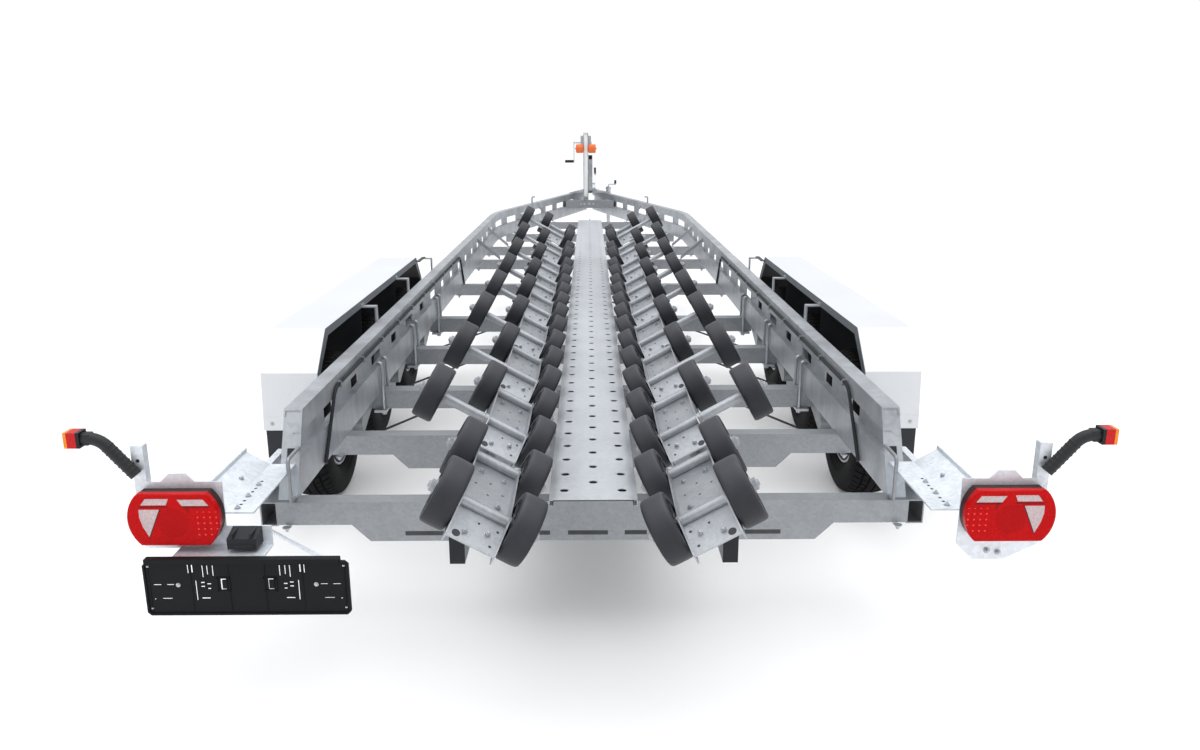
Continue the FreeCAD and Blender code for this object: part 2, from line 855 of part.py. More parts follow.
def rim(place):
    """Steel rim with a dished disc, brake drum and hub, bored for the stub."""
    seat = rim_seat_width / 2.0
    x = tyre_offset
    bore = stub_radius + running_gap
    face = x + disc_offset
    drum_end = backplate_offset + backplate_wall + drum_gap
    drum = rod(drum_radius, V(drum_end, 0, 0), V(drum_end + drum_length, 0, 0))
    disc = rod(rim_radius - rim_wall / 2.0, V(face - disc_wall, 0, 0), V(face, 0, 0))
    barrel = rod(rim_radius, V(x - seat, 0, 0), V(x + seat, 0, 0))
    barrel = barrel.cut(rod(rim_radius - rim_wall, V(x - seat - overrun, 0, 0), V(x + seat + overrun, 0, 0)))
    hub = rod(hub_radius, V(drum_end, 0, 0), V(face + overrun, 0, 0))
    cap = rod(hub_cap_radius, V(face, 0, 0), V(face + hub_cap_length, 0, 0))
    shape = fuse([barrel, disc, drum, hub, cap])
    holes = [rod(bore, V(drum_end - overrun, 0, 0), V(face + seat_gap, 0, 0))]
    for k in range(hand_hole_count):
        turn = math.radians(360.0 / hand_hole_count * k)
        y = hand_hole_circle * math.cos(turn)
        z = hand_hole_circle * math.sin(turn)
        holes.append(rod(hand_hole_radius, V(drum_end + drum_length + seat_gap, y, z), V(face + overrun,
                                                                                         y, z)))
    shape = shape.cut(Part.makeCompound(holes))
    shape.translate(place)
    return shape


for index in range(3):
    hub_place = V(0, axle_place(index) - arm_length, tyre_radius)
    tyre_shape = tyre(hub_place)
    rim_shape = rim(hub_place)
    save(f"tyre_right_{index + 1}", tyre_shape)
    save(f"tyre_left_{index + 1}", mirror(tyre_shape))
    save(f"rim_right_{index + 1}", rim_shape)
    save(f"rim_left_{index + 1}", mirror(rim_shape))


# Mudguards
def guard_profile(inset):
    """Side outline of the mudguard's sheet, moved in by a wall."""
    y0 = along(guard_rear_from_rear) + inset
    y1 = along(guard_front_from_rear) - inset
    top = guard_top_height - inset
    knee = guard_knee_height - inset * math.tan(tilt)
    return [V(0, y0, guard_low_height), V(0, y0 + guard_lean, knee),
            V(0, y0 + guard_slope, top), V(0, y1 - guard_slope, top),
            V(0, y1 - guard_lean, knee), V(0, y1, guard_low_height)]


def mudguard():
    """Folded sheet over three wheels with an outer skirt and an inner lip."""
    outer = guard_profile(0)
    inner = guard_profile(guard_wall)
    skirt = guard_profile(guard_skirt)
    lip = guard_profile(guard_lip)
    width = V(guard_outer - guard_inner, 0, 0)
    shapes = []
    for depth, x0, ring in ((width, guard_inner, inner), (V(guard_wall, 0, 0), guard_outer - guard_wall,
                                                          skirt),
                            (V(guard_wall, 0, 0), guard_inner, lip)):
        shape = prism(outer + ring[::-1], depth)
        shape.translate(V(x0, 0, 0))
        shapes.append(shape)
    return fuse(shapes)


def guard_stays():
    """Flat bars from the rail's outer face up to the mudguard's inner lip."""
    shapes = []
    for index in range(3):
        y = axle_place(index) - arm_length + axle_pitch / 2.0
        top = guard_top_height - guard_lip
        x1 = guard_inner
        x0 = rail_half_width
        foot = block(x0, x0 + guard_stay_wall, y - guard_stay_width / 2.0, y + guard_stay_width / 2.0,
                     rail_top_height - guard_skirt, top)
        arm = block(x0, x1, y - guard_stay_width / 2.0, y + guard_stay_width / 2.0, top,
                    top + guard_stay_wall)
        shapes.append(fuse([foot, arm]))
    return shapes


guard = mudguard()
save("mudguard_right", guard)
save("mudguard_left", mirror(guard))
stays = guard_stays()
save("mudguard_stays", stays + [mirror(shape) for shape in stays])


# Lighting boards, lamps and marker lamps
def light_plate():
    """Right bracket: strip from the rail's end, cranked panel, lamp board and the marker's post."""
    y0 = along(light_plate_rear_from_rear)
    y_strip = along(light_plate_start_from_rear)
    z = light_plate_height
    y1 = along(rail_rear_from_rear) + rail_rake * (z - rail_bottom_height) / rail_depth
    y2 = along(cross_from_rear[0]) + socket_length
    wall = light_plate_wall
    split = light_plate_split
    outer = light_plate_outer
    rise = light_plate_rise
    strip = block(light_plate_inner, split + wall, y_strip, y1, z, z + wall)
    panel = prism([V(split, y0, z), V(outer, y0, z + rise), V(outer, y0, z + rise + wall), V(split, y0,
                                                                                             z + wall)],
                  V(0, y1 - y0, 0))
    lip = block(outer, outer + wall, y0, y1, z + rise, z + rise + light_plate_lip)
    x_web = rail_half_width + socket_width - wall
    arm = block(x_web - light_plate_lip, x_web + wall, y1 - wall, y2, z, z + wall)
    web = block(x_web, x_web + wall, y1, y2, rail_bottom_height, z + wall)
    board = prism([V(lamp_board_inner, y0, lamp_board_bottom), V(lamp_board_outer, y0, lamp_board_bottom),
                   V(lamp_board_outer, y0, lamp_board_top), V(lamp_offset + lamp_board_foot, y0,
                                                              lamp_board_top),
                   V(lamp_offset + lamp_board_crest, y0, lamp_board_top + lamp_board_crest),
                   V(lamp_offset - lamp_board_crest, y0, lamp_board_top + lamp_board_crest),
                   V(lamp_offset - lamp_board_foot, y0, lamp_board_top), V(lamp_board_inner, y0,
                                                                           lamp_board_top)],
                  V(0, wall, 0))
    x_post = marker_post_offset - marker_post_width / 2.0
    post = block(x_post, x_post + marker_post_width, y0, y0 + wall, marker_post_bottom, marker_post_top)
    flange = block(x_post, x_post + wall, y0, y0 + marker_post_flange, marker_post_bottom, marker_post_top)
    return fuse([strip, panel, lip, arm, web, board, post, flange])


def board_tab():
    """Tapered tab under the right lamp board."""
    y = along(light_plate_rear_from_rear)
    z0 = lamp_board_bottom - lamp_board_foot
    return prism([V(lamp_board_inner, y, lamp_board_bottom), V(lamp_board_inner + lamp_board_foot, y, z0),
                  V(lamp_board_outer - lamp_board_foot * 2.0, y, z0), V(lamp_board_outer, y,
                                                                        lamp_board_bottom)],
                 V(0, light_plate_wall, 0))


def holder_carrier():
    """Wide plate under the left lamp board with a shelf back to the number plate holder."""
    y0 = along(holder_from_rear)
    y1 = along(light_plate_rear_from_rear)
    z = holder_bottom + holder_height
    wall = light_plate_wall
    plate = block(-lamp_board_outer, -holder_board_inner, y1, y1 + wall, z, holder_board_top)
    shelf = block(-lamp_board_outer + holder_board_margin, -holder_board_inner, y0 - holder_wall, y1 + wall,
                  z, z + wall)
    return fuse([plate, shelf])


def holder_stay():
    """Thin bar from the left towing socket down to the inner end of the number plate holder."""
    margin = stay_radius * 4.0
    start = V(-rail_half_width - socket_width + stay_radius, along(cross_from_rear[0]) - stay_radius * 0.65,
              rail_bottom_height - socket_height - stay_radius / 6.0)
    end = V(-holder_inner - margin, along(holder_from_rear) + stay_radius,
            holder_bottom + holder_height - margin)
    return rod(stay_radius, start, end)


def lamp():
    """Rear lamp: a flat box with cut corners."""
    x = lamp_offset
    z = lamp_height_centre
    a = lamp_width / 2.0
    b = lamp_height / 2.0
    c = lamp_corner
    y = along(light_plate_rear_from_rear) - lamp_depth
    points = [V(x - a + c, y, z - b), V(x + a - c, y, z - b), V(x + a, y, z - b + c), V(x + a, y, z + b - c),
              V(x + a - c, y, z + b), V(x - a + c, y, z + b), V(x - a, y, z + b - c), V(x - a, y, z - b + c)]
    return prism(points, V(0, lamp_depth, 0))


def marker_arm():
    """Rubber arm that carries the marker lamp: it leans outwards and then levels."""
    y = along(light_plate_rear_from_rear) - marker_arm_radius
    start = V(marker_post_offset, y, marker_arm_bottom)
    end = start + V(marker_arm_reach, 0, marker_arm_rise)
    knee = end - V(marker_arm_level, 0, 0)
    return routed([start, knee, end], marker_arm_bend, marker_arm_radius)


def marker_lamp():
    """Marker lamp on the end of its arm."""
    y = along(light_plate_rear_from_rear) - marker_arm_radius
    x = marker_post_offset + marker_arm_reach
    z = marker_arm_bottom + marker_arm_rise
    return block(x, x + marker_lamp_length, y - marker_lamp_width / 2.0, y + marker_lamp_width / 2.0,
                 z - marker_lamp_height / 2.0, z + marker_lamp_height / 2.0)


def towing_socket():
    """Open rectangular tube beside the rail's rear end, for the lighting boards."""
    x0 = rail_half_width
    x1 = rail_half_width + socket_width
    y0 = along(cross_from_rear[0])
    z1 = rail_bottom_height
    outer = block(x0, x1, y0, y0 + socket_length, z1 - socket_height, z1)
    inner = block(x0 + socket_wall, x1 - socket_wall, y0 - overrun, y0 + socket_length + overrun,
                  z1 - socket_height + socket_wall, z1 - socket_wall)
    return outer.cut(inner)


bracket = light_plate()
left_bracket = fuse([mirror(bracket), holder_carrier()])
save("light_brackets", [fuse([bracket, board_tab()]), left_bracket, holder_stay()])
lamp_shape = lamp()
save("lamps", [lamp_shape, mirror(lamp_shape)])
arm_shape = marker_arm()
save("marker_arms", [arm_shape, mirror(arm_shape)])
marker_shape = marker_lamp()
save("marker_lamps", [marker_shape, mirror(marker_shape)])
socket = towing_socket()
save("board_sockets", [socket, mirror(socket)])


# Number plate holder and its lamp
def plate_holder():
    """Flat holder with a raised rim for the number plate, left bare."""
    y = along(holder_from_rear)
    x1 = -holder_inner
    x0 = x1 - holder_width
    z0 = holder_bottom
    z1 = z0 + holder_height
    plate = block(x0, x1, y - holder_wall, y, z0, z1)
    recess = block(x0 + holder_rim, x1 - holder_rim, y - holder_wall - overrun, y - holder_wall + holder_lip,
                   z0 + holder_rim, z1 - holder_rim)
    return plate.cut(recess)


def plate_lamp():
    """Small lamp that lights the number plate."""
    y = along(light_plate_rear_from_rear)
    half = plate_lamp_width / 2.0
    z0 = plate_lamp_centre - plate_lamp_height / 2.0
    z1 = plate_lamp_centre + plate_lamp_height / 2.0
    y0 = y - plate_lamp_depth
    x = -plate_lamp_offset
    return prism([V(x - half, y, z0), V(x - half, y, z1), V(x - half, y0, z1 - plate_lamp_slope),
                  V(x - half, y0, z0)], V(plate_lamp_width, 0, 0))


save("plate_holder", plate_holder())
save("plate_lamp", plate_lamp())


# Winch post, winch and bow rollers
post_y = along(post_from_rear)
post_x0 = post_offset - post_side / 2.0
post_x1 = post_offset + post_side / 2.0
post_foot_top = rail_top_height - post_foot_below_rail


def cross_foot(y, length, offset, low, height):
    """Bar across the drawbar, its ends following the rails' faces at an offset from the outer one."""
    y0 = y - length / 2.0
    y1 = y + length / 2.0
    a = rail_face_at(y0, offset)
    b = rail_face_at(y1, offset)
    return prism([V(-a, y0, low), V(a, y0, low), V(b, y1, low), V(-b, y1, low)], V(0, 0, height))


def winch_post():
    """Upright box section on a crossbar between the drawbar rails, with a sloping brace beside it."""
    half = post_side / 2.0
    post = block(post_x0, post_x1, post_y - half, post_y + half, post_foot_top, post_top_height)
    hollow = block(post_x0 + post_wall, post_x1 - post_wall, post_y - half + post_wall,
                   post_y + half - post_wall,
                   post_foot_top, post_top_height + overrun)
    foot_low = post_foot_top - post_foot_height
    foot = cross_foot(post_y, post_foot_length, rail_flange, foot_low, post_foot_height)
    foot_hollow = block(-rail_half_width, rail_half_width, post_y - post_foot_length / 2.0 + post_wall,
                        post_y + post_foot_length / 2.0 - post_wall, foot_low + post_wall,
                        post_foot_top - post_wall)
    brace_top = rail_top_height + post_brace_rise
    front = post_y + post_brace_length
    outline = [V(post_x1, post_y - half, brace_top - post_side), V(post_x1, post_y - half, brace_top),
               V(post_x1, post_y + half, brace_top), V(post_x1, front + half, rail_top_height),
               V(post_x1, front - half, rail_top_height)]
    leg = prism(outline, V(post_brace_width, 0, 0))
    leg_hollow = prism([point + V(post_wall, 0, 0) for point in outline],
                       V(post_brace_width - post_wall - post_wall, 0, 0))
    shelf = cross_foot(front, post_foot_length, 0, rail_top_height, post_foot_wall)
    pin_y = post_y - bow_roller_set_back
    pin = rod(bow_pin_radius, V(post_x0 - bow_roller_length - overrun, pin_y, bow_roller_height),
              V(post_x1 + bow_roller_length + overrun, pin_y, bow_roller_height))
    slot = leg_hollow.common(leg_hollow.translated(V(0, -post_wall, -post_wall)))
    return fuse([post.cut(hollow), foot.cut(foot_hollow), leg.cut(slot), shelf, pin])


def bow_roller(x0):
    """Roller on the pin beside the post."""
    half = bow_roller_length / 2.0 - seat_gap
    bore = bow_pin_radius + seat_gap
    edge = bow_roller_radius - bow_pin_radius
    outline = [V(-half, 0, bore), V(-half, 0, edge), V(-half + bow_pin_radius, 0, bow_roller_radius),
               V(half - bow_pin_radius, 0, bow_roller_radius), V(half, 0, edge), V(half, 0, bore)]
    shape = turned(outline, V(0, 0, 0), V(1, 0, 0))
    shape.translate(V(x0 + bow_roller_length / 2.0, post_y - bow_roller_set_back, bow_roller_height))
    return shape


winch_y = post_y + post_side / 2.0
shaft_y = winch_y + winch_flange_radius + winch_shaft_margin


def winch_frame():
    """Back plate on the post's front with two rounded cheeks and a tie bar."""
    half = winch_width / 2.0
    z0 = winch_height - winch_flange_radius - winch_shaft_margin
    z1 = winch_height + winch_flange_radius + winch_shaft_margin
    shapes = [block(post_offset - half, post_offset + half, winch_y, winch_y + winch_wall, z0, z1)]
    for x in (post_offset - half, post_offset + half - winch_wall):
        nose = rod(winch_flange_radius + winch_shaft_margin, V(x, shaft_y, winch_height),
                   V(x + winch_wall, shaft_y, winch_height))
        shapes.append(fuse([block(x, x + winch_wall, winch_y, shaft_y, z0, z1), nose]))
    tie_y = shaft_y + winch_flange_radius + moving_gap + winch_tie_radius
    tie = rod(winch_tie_radius, V(post_offset - half, tie_y, winch_height), V(post_offset + half, tie_y,
                                                                              winch_height))
    bore = rod(winch_shaft_radius + running_gap, V(post_offset - winch_width, shaft_y, winch_height),
               V(post_offset + winch_width, shaft_y, winch_height))
    return fuse(shapes + [tie]).cut(bore)


def winch_drum():
    """Drum and shaft with the crank on the left."""
    half = winch_width / 2.0 - winch_wall - moving_gap
    z = winch_height
    x = post_offset
    drum = rod(winch_drum_radius, V(x - half, shaft_y, z), V(x + half, shaft_y, z))
    flanges = [rod(winch_flange_radius, V(x - half, shaft_y, z), V(x - half + winch_flange_wall, shaft_y, z)),
               rod(winch_flange_radius, V(x + half - winch_flange_wall, shaft_y, z), V(x + half, shaft_y, z))]
    end = x - winch_width / 2.0 - winch_shaft_overhang
    shaft = rod(winch_shaft_radius, V(end, shaft_y, z), V(x + winch_width / 2.0 + overrun, shaft_y, z))
    arm = block(end, end + crank_bar, shaft_y - crank_half_width, shaft_y + crank_half_width,
                z - crank_radius, z + crank_half_width)
    grip_z = z - crank_radius + crank_half_width
    grip = rod(crank_grip_radius, V(end - crank_grip_length, shaft_y, grip_z), V(end, shaft_y, grip_z))
    return fuse([drum, shaft, arm, grip] + flanges)


save("winch_post", winch_post())
save("bow_roller", [bow_roller(post_x0 - bow_roller_length), bow_roller(post_x1)])
save("winch_frame", winch_frame())
save("winch_drum", winch_drum())


# Coupling
tip = along(overall_length)
housing_front = along(drawbar_tip_from_rear)
housing_rear = housing_front - coupling_housing_length
coupling_top = rail_top_height + coupling_base_wall
shaft_z = coupling_top + coupling_housing_height / 2.0
head_rear = tip - coupling_head_length
ball_y = tip - coupling_head_width / 2.0


def coupling_housing():
    """Overrun housing on a plate over the rails' tips."""
    half = coupling_housing_width / 2.0
    base = cross_foot((housing_front + housing_rear) / 2.0, coupling_housing_length, 0, rail_top_height,
                      coupling_base_wall)
    slope = coupling_housing_height / 2.0
    body = prism([V(-half, housing_rear, coupling_top), V(-half, housing_rear, shaft_z),
                  V(-half, housing_rear + slope, coupling_top + coupling_housing_height),
                  V(-half, housing_front, coupling_top + coupling_housing_height),
                  V(-half, housing_front, coupling_top)], V(coupling_housing_width, 0, 0))
    shaft = rod(coupling_shaft_radius, V(0, housing_front, shaft_z), V(0, head_rear, shaft_z))
    return [base, body, shaft]


def coupling_head():
    """Ball head with a rounded nose, its cup open below, and the lifting grip on top."""
    half = coupling_head_width / 2.0
    z0 = shaft_z - coupling_head_height / 2.0
    z1 = shaft_z + coupling_head_height / 2.0
    body = block(-half, half, head_rear, ball_y, z0, z1)
    nose = rod(half, V(0, ball_y, z0), V(0, ball_y, z1))
    grip_half = coupling_grip_width / 2.0
    y0 = ball_y - coupling_grip_width
    grip = prism([V(-grip_half, y0, z1), V(-grip_half, y0 - coupling_grip_width, z1),
                  V(-grip_half, y0 - coupling_grip_length,
                    z1 + coupling_grip_rise - coupling_grip_width / 2.0),
                  V(-grip_half, y0 - coupling_grip_length, z1 + coupling_grip_rise),
                  V(-grip_half, y0 - coupling_grip_width, z1 + coupling_grip_width)],
                  V(coupling_grip_width, 0, 0))
    return [body, nose, grip]


def bellows():
    """Folded rubber sleeve over the coupling's shaft."""
    bore = coupling_shaft_radius + seat_gap
    y0 = housing_front + seat_gap
    step = (head_rear - housing_front - seat_gap * 2.0) / coupling_bellows_count
    outline = [V(0, y0, shaft_z + bore)]
    for k in range(coupling_bellows_count):
        outline.append(V(0, y0 + k * step, shaft_z + coupling_bellows_waist))
        outline.append(V(0, y0 + k * step + step / 2.0, shaft_z + coupling_bellows_radius))
    outline.append(V(0, y0 + coupling_bellows_count * step, shaft_z + coupling_bellows_waist))
    outline.append(V(0, y0 + coupling_bellows_count * step, shaft_z + bore))
    return turned(outline, V(0, 0, shaft_z), V(0, 1, 0))


def brake_lever():
    """Handbrake lever beside the housing, leaning forward, with its grip."""
    x = coupling_housing_width / 2.0
    bar = block(x, x + brake_lever_wall, -brake_lever_width / 2.0, brake_lever_width / 2.0,
                -brake_lever_width / 2.0, brake_lever_length)
    grip = rod(brake_grip_radius, V(x + brake_lever_wall / 2.0, 0, brake_lever_length - brake_grip_length),
               V(x + brake_lever_wall / 2.0, 0, brake_lever_length))
    lever = fuse([bar, grip])
    lever.rotate(V(0, 0, 0), V(1, 0, 0), -brake_lever_lean)
    lever.translate(V(0, along(brake_lever_from_rear), shaft_z))
    return lever


bore = rod(ball_radius, V(0, ball_y, shaft_z - coupling_head_height),
           V(0, ball_y, shaft_z - coupling_head_height / 2.0 + ball_depth))
coupling = fuse(coupling_housing() + coupling_head() + [brake_lever()]).cut(bore)
save("coupling", [coupling, bellows()])


# Jockey wheel
jockey_y = along(jockey_from_rear)
jockey_x = rail_face_at(jockey_y, 0) + jockey_gap + jockey_tube_radius
crown_low = jockey_wheel_radius * 2.0 + jockey_crown_gap
crown_top = crown_low + jockey_crown_wall


def jockey_sleeve():
    """Outer tube with a collar and its clamp on the right drawbar rail."""
    z1 = jockey_tube_top
    z0 = z1 - jockey_tube_length
    tube = rod(jockey_tube_radius, V(jockey_x, jockey_y, z0), V(jockey_x, jockey_y, z1))
    collar = rod(jockey_collar_radius, V(jockey_x, jockey_y, z1 - jockey_collar_height), V(jockey_x,
                                                                                           jockey_y, z1))
    y0 = jockey_y - jockey_clamp_length / 2.0
    y1 = jockey_y + jockey_clamp_length / 2.0
    a = rail_face_at(y0, 0)
    b = rail_face_at(y1, 0)
    plate = prism([V(a, y0, rail_bottom_height), V(b, y1, rail_bottom_height),
                   V(b + clamp_wall, y1, rail_bottom_height), V(a + clamp_wall, y0, rail_bottom_height)],
                  V(0, 0, rail_depth))
    middle = (rail_bottom_height + rail_top_height) / 2.0
    low = middle - jockey_clamp_height / 2.0
    clamp = prism([V(a, y0, low), V(b, y1, low), V(jockey_x, y1, low), V(jockey_x, y0, low)],
                  V(0, 0, jockey_clamp_height))
    jaw = rod(jockey_clamp_length / 2.0, V(jockey_x, jockey_y, low), V(jockey_x, jockey_y,
                                                                       low + jockey_clamp_height))
    bore = rod(jockey_inner_radius + running_gap, V(jockey_x, jockey_y, z0 - overrun),
               V(jockey_x, jockey_y, z1 + overrun))
    return fuse([tube, collar, plate, clamp, jaw]).cut(bore)


def jockey_stem():
    """Inner tube with the winding handle on top."""
    z0 = crown_top + seat_gap
    z1 = jockey_tube_top + jockey_handle_height
    stem = rod(jockey_inner_radius, V(jockey_x, jockey_y, z0), V(jockey_x, jockey_y,
                                                                 jockey_tube_top + overrun))
    crank = routed([V(jockey_x, jockey_y, jockey_tube_top), V(jockey_x, jockey_y, z1),
                    V(jockey_x + jockey_handle_reach, jockey_y, z1)], jockey_bar * 2.0, jockey_bar)
    grip = rod(jockey_bar * 2.0, V(jockey_x + jockey_handle_reach, jockey_y, z1 - jockey_bar),
               V(jockey_x + jockey_handle_reach, jockey_y, z1 + jockey_handle_rise))
    pin = rod(jockey_pin_radius, V(jockey_x, jockey_y, crown_low), V(jockey_x, jockey_y, z0 + overrun))
    return fuse([stem, crank, grip, pin])


def jockey_fork():
    """Swivelling fork with the wheel's axle."""
    half = jockey_wheel_width / 2.0 + jockey_fork_gap
    axle_y = jockey_y - jockey_trail
    crown = block(jockey_x - half - jockey_fork_wall, jockey_x + half + jockey_fork_wall,
                  jockey_y - jockey_trail - jockey_inner_radius, jockey_y + jockey_inner_radius,
                  crown_low, crown_top)
    foot = jockey_pin_radius * 2.0
    legs = []
    for x0 in (jockey_x - half - jockey_fork_wall, jockey_x + half):
        legs.append(prism([V(x0, jockey_y + jockey_inner_radius, crown_top),
                           V(x0, axle_y - jockey_inner_radius, crown_top),
                           V(x0, axle_y - foot, jockey_wheel_radius), V(x0, axle_y + foot,
                                                                        jockey_wheel_radius)],
                          V(jockey_fork_wall, 0, 0)))
        legs.append(rod(foot, V(x0, axle_y, jockey_wheel_radius), V(x0 + jockey_fork_wall, axle_y,
                                                                    jockey_wheel_radius)))
    pin = rod(jockey_pin_radius, V(jockey_x - half - jockey_fork_wall, axle_y, jockey_wheel_radius),
              V(jockey_x + half + jockey_fork_wall, axle_y, jockey_wheel_radius))
    bore = rod(jockey_pin_radius + running_gap, V(jockey_x, jockey_y, crown_low - overrun),
               V(jockey_x, jockey_y, crown_top + overrun))
    return fuse([crown, pin] + legs).cut(bore)


def jockey_wheel():
    """Wheel with a rounded tread and a recessed disc, bored for its axle."""
    half = jockey_wheel_width / 2.0
    bore = jockey_pin_radius + running_gap
    r = jockey_wheel_radius
    tread = jockey_tread
    hub = jockey_pin_radius * 2.0
    web = half - tread
    outline = [V(-half, 0, bore), V(-half, 0, hub), V(-web, 0, hub + tread), V(-web, 0, r - tread - tread),
               V(-half, 0, r - tread - tread / 2.0), V(-half, 0, r - tread / 2.0), V(-half + tread / 2.0,
                                                                                     0, r),
               V(half - tread / 2.0, 0, r), V(half, 0, r - tread / 2.0), V(half, 0, r - tread - tread / 2.0),
               V(web, 0, r - tread - tread), V(web, 0, hub + tread), V(half, 0, hub), V(half, 0, bore)]
    shape = turned(outline, V(0, 0, 0), V(1, 0, 0))
    shape.translate(V(jockey_x, jockey_y - jockey_trail, r))
    return shape


save("jockey_sleeve", jockey_sleeve())
save("jockey_stem", jockey_stem())
save("jockey_fork", jockey_fork())
save("jockey_wheel", jockey_wheel())


# Brake cables and wiring
rod_z = axle_height - axle_side / 2.0 - equaliser_radius - seat_gap


def brake_cable(index):
    """Right brake cable, from the wheel's backplate in and forward to the centre rod."""
    y = axle_place(index) - arm_length
    start = V(backplate_offset - seat_gap, y, tyre_radius - cable_drop)
    end = V(cable_centre_offset, y + cable_forward - seat_gap, rod_z)
    run = (end - start).normalize()
    start.x -= cable_radius * math.sqrt(1.0 - run.x ** 2)
    end.y -= cable_radius * math.sqrt(1.0 - run.y ** 2)
    return rod(cable_radius, start, end)


def brake_rod():
    """Centre rod under the axles with a cross plate for each pair of cables."""
    y0 = axle_place(0) - axle_side
    y1 = along(equaliser_front_from_rear)
    shapes = [rod(equaliser_radius, V(0, y0, rod_z), V(0, y1, rod_z))]
    half = cable_centre_offset + overrun
    for index in range(3):
        y = axle_place(index) - arm_length + cable_forward
        shapes.append(block(-half, half, y, y + clamp_wall, rod_z - overrun, rod_z + overrun))
    return fuse(shapes)


def wiring():
    """Lead along the right rail's inner face under its top edge, down to a crossmember at each end."""
    x = rail_half_width - rail_flange - wiring_radius - seat_gap
    high = rail_top_height - upper_chord_depth / 2.0
    low = rail_bottom_height + wiring_radius + seat_gap
    y0 = along(wiring_rear_from_rear)
    y1 = along(wiring_front_from_rear)
    points = [V(x, y0, low), V(x, y0 + wiring_slope, high), V(x, y1 - wiring_slope, high), V(x, y1, low)]
    return routed(points, wiring_bend, wiring_radius)


cables = [brake_cable(index) for index in range(3)]
save("brake_cables", cables + [mirror(shape) for shape in cables] + [brake_rod()])
lead = wiring()
save("wiring", [lead, mirror(lead)])
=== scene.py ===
import json
import math
import random

import bmesh
import bpy
from mathutils import Matrix, Vector


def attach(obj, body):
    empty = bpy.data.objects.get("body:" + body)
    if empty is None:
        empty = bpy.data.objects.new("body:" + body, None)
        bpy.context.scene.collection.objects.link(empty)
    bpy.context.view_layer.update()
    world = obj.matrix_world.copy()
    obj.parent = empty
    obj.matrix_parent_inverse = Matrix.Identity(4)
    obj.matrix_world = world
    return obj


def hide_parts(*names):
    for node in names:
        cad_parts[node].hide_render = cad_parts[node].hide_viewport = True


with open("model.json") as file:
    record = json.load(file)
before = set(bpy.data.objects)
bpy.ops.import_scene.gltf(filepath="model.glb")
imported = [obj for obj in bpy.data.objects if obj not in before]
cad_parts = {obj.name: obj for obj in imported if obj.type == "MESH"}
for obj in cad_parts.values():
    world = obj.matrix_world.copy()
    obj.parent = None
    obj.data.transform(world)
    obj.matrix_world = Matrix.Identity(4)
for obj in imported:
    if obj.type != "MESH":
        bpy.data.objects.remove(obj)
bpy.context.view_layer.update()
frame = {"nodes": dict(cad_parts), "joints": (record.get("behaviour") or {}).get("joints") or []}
random.seed(11)

# Side rails
# Two deep rails, pressed from 5 mm steel with folded edges and a row of windows, bent inwards to
# form the drawbar. They are hot-dip galvanised, so the zinc has faint crystals and dull clouds.
REAR = -5510


class Shade:
    """An output in a material's node tree, on which sums are written as sums."""

    def __init__(self, tree, socket=None):
        self.tree = tree
        self.socket = socket

    def node(self, kind, settings, values, output=0):
        """Add a node: first its settings, then the values or links of its sockets."""
        made = self.tree.nodes.new("ShaderNode" + kind)
        for name, value in settings.items():
            if name == "stops":
                elements = made.color_ramp.elements
                while len(elements) < len(value):
                    elements.new(1.0)
                for element, (place, colour) in zip(elements, value):
                    element.position = place
                    element.color = colour
            else:
                setattr(made, name, value)
        for name, value in values.items():
            if isinstance(value, Shade):
                self.tree.links.new(value.socket, made.inputs[name])
            else:
                made.inputs[name].default_value = value
        return Shade(self.tree, made.outputs[output])

    def maths(self, operation, first, second=0.0):
        return self.node("Math", {"operation": operation}, {0: first, 1: second})

    def __add__(self, other):
        return self.maths("ADD", self, other)

    __radd__ = __add__

    def __sub__(self, other):
        return self.maths("SUBTRACT", self, other)

    def __mul__(self, other):
        return self.maths("MULTIPLY", self, other)

    __rmul__ = __mul__

    def __rsub__(self, other):
        return self.maths("SUBTRACT", other, self)

    def __gt__(self, other):
        return self.maths("GREATER_THAN", self, other)

    def __lt__(self, other):
        return self.maths("LESS_THAN", self, other)

    def __abs__(self):
        return self.maths("ABSOLUTE", self)

    def place(self, stretch=(1.0, 1.0, 1.0)):
        """Where a point of the surface is on the trailer, in metres."""
        spot = self.node("TexCoord", {}, {}, "Object")
        return self.node("Mapping", {}, {"Vector": spot, "Scale": stretch})

    def across(self):
        return self.node("SeparateXYZ", {}, {0: self.place()}, 0)

    def ahead(self):
        return self.node("SeparateXYZ", {}, {0: self.place()}, 1)

    def height(self):
        return self.node("SeparateXYZ", {}, {0: self.place()}, 2)

    def level(self):
        """One number for a colour that is a grey."""
        return self.node("SeparateColor", {}, {0: self})

    def clouds(self, size, detail=2.0, stretch=(1.0, 1.0, 1.0)):
        """Soft noise from 0 to 1 whose blots are size metres across."""
        return self.node("TexNoise", {}, {"Vector": self.place(stretch), "Scale": 1.0 / size,
                                          "Detail": detail, "Roughness": 0.55})

    def cells(self, size, output=0):
        """Cells size metres across: 0 at the middle of each, more towards its edges."""
        return self.node("TexVoronoi", {}, {"Vector": self.place(), "Scale": 1.0 / size}, output)

    def crystals(self, size):
        """Such cells, each with a number of its own from 0 to 1."""
        return self.cells(size, 1).level()

    def blend(self, amount, first, second):
        """The first colour where amount is 0 and the second where it is 1."""
        return self.node("Mix", {"data_type": "RGBA"}, {0: amount, 6: first, 7: second}, 2)

    def ramp(self, amount, stops):
        return self.node("ValToRGB", {"stops": stops}, {0: amount})

    def bump(self, height, depth, strength=1.0):
        return self.node("Bump", {}, {"Height": height, "Distance": depth, "Strength": strength})


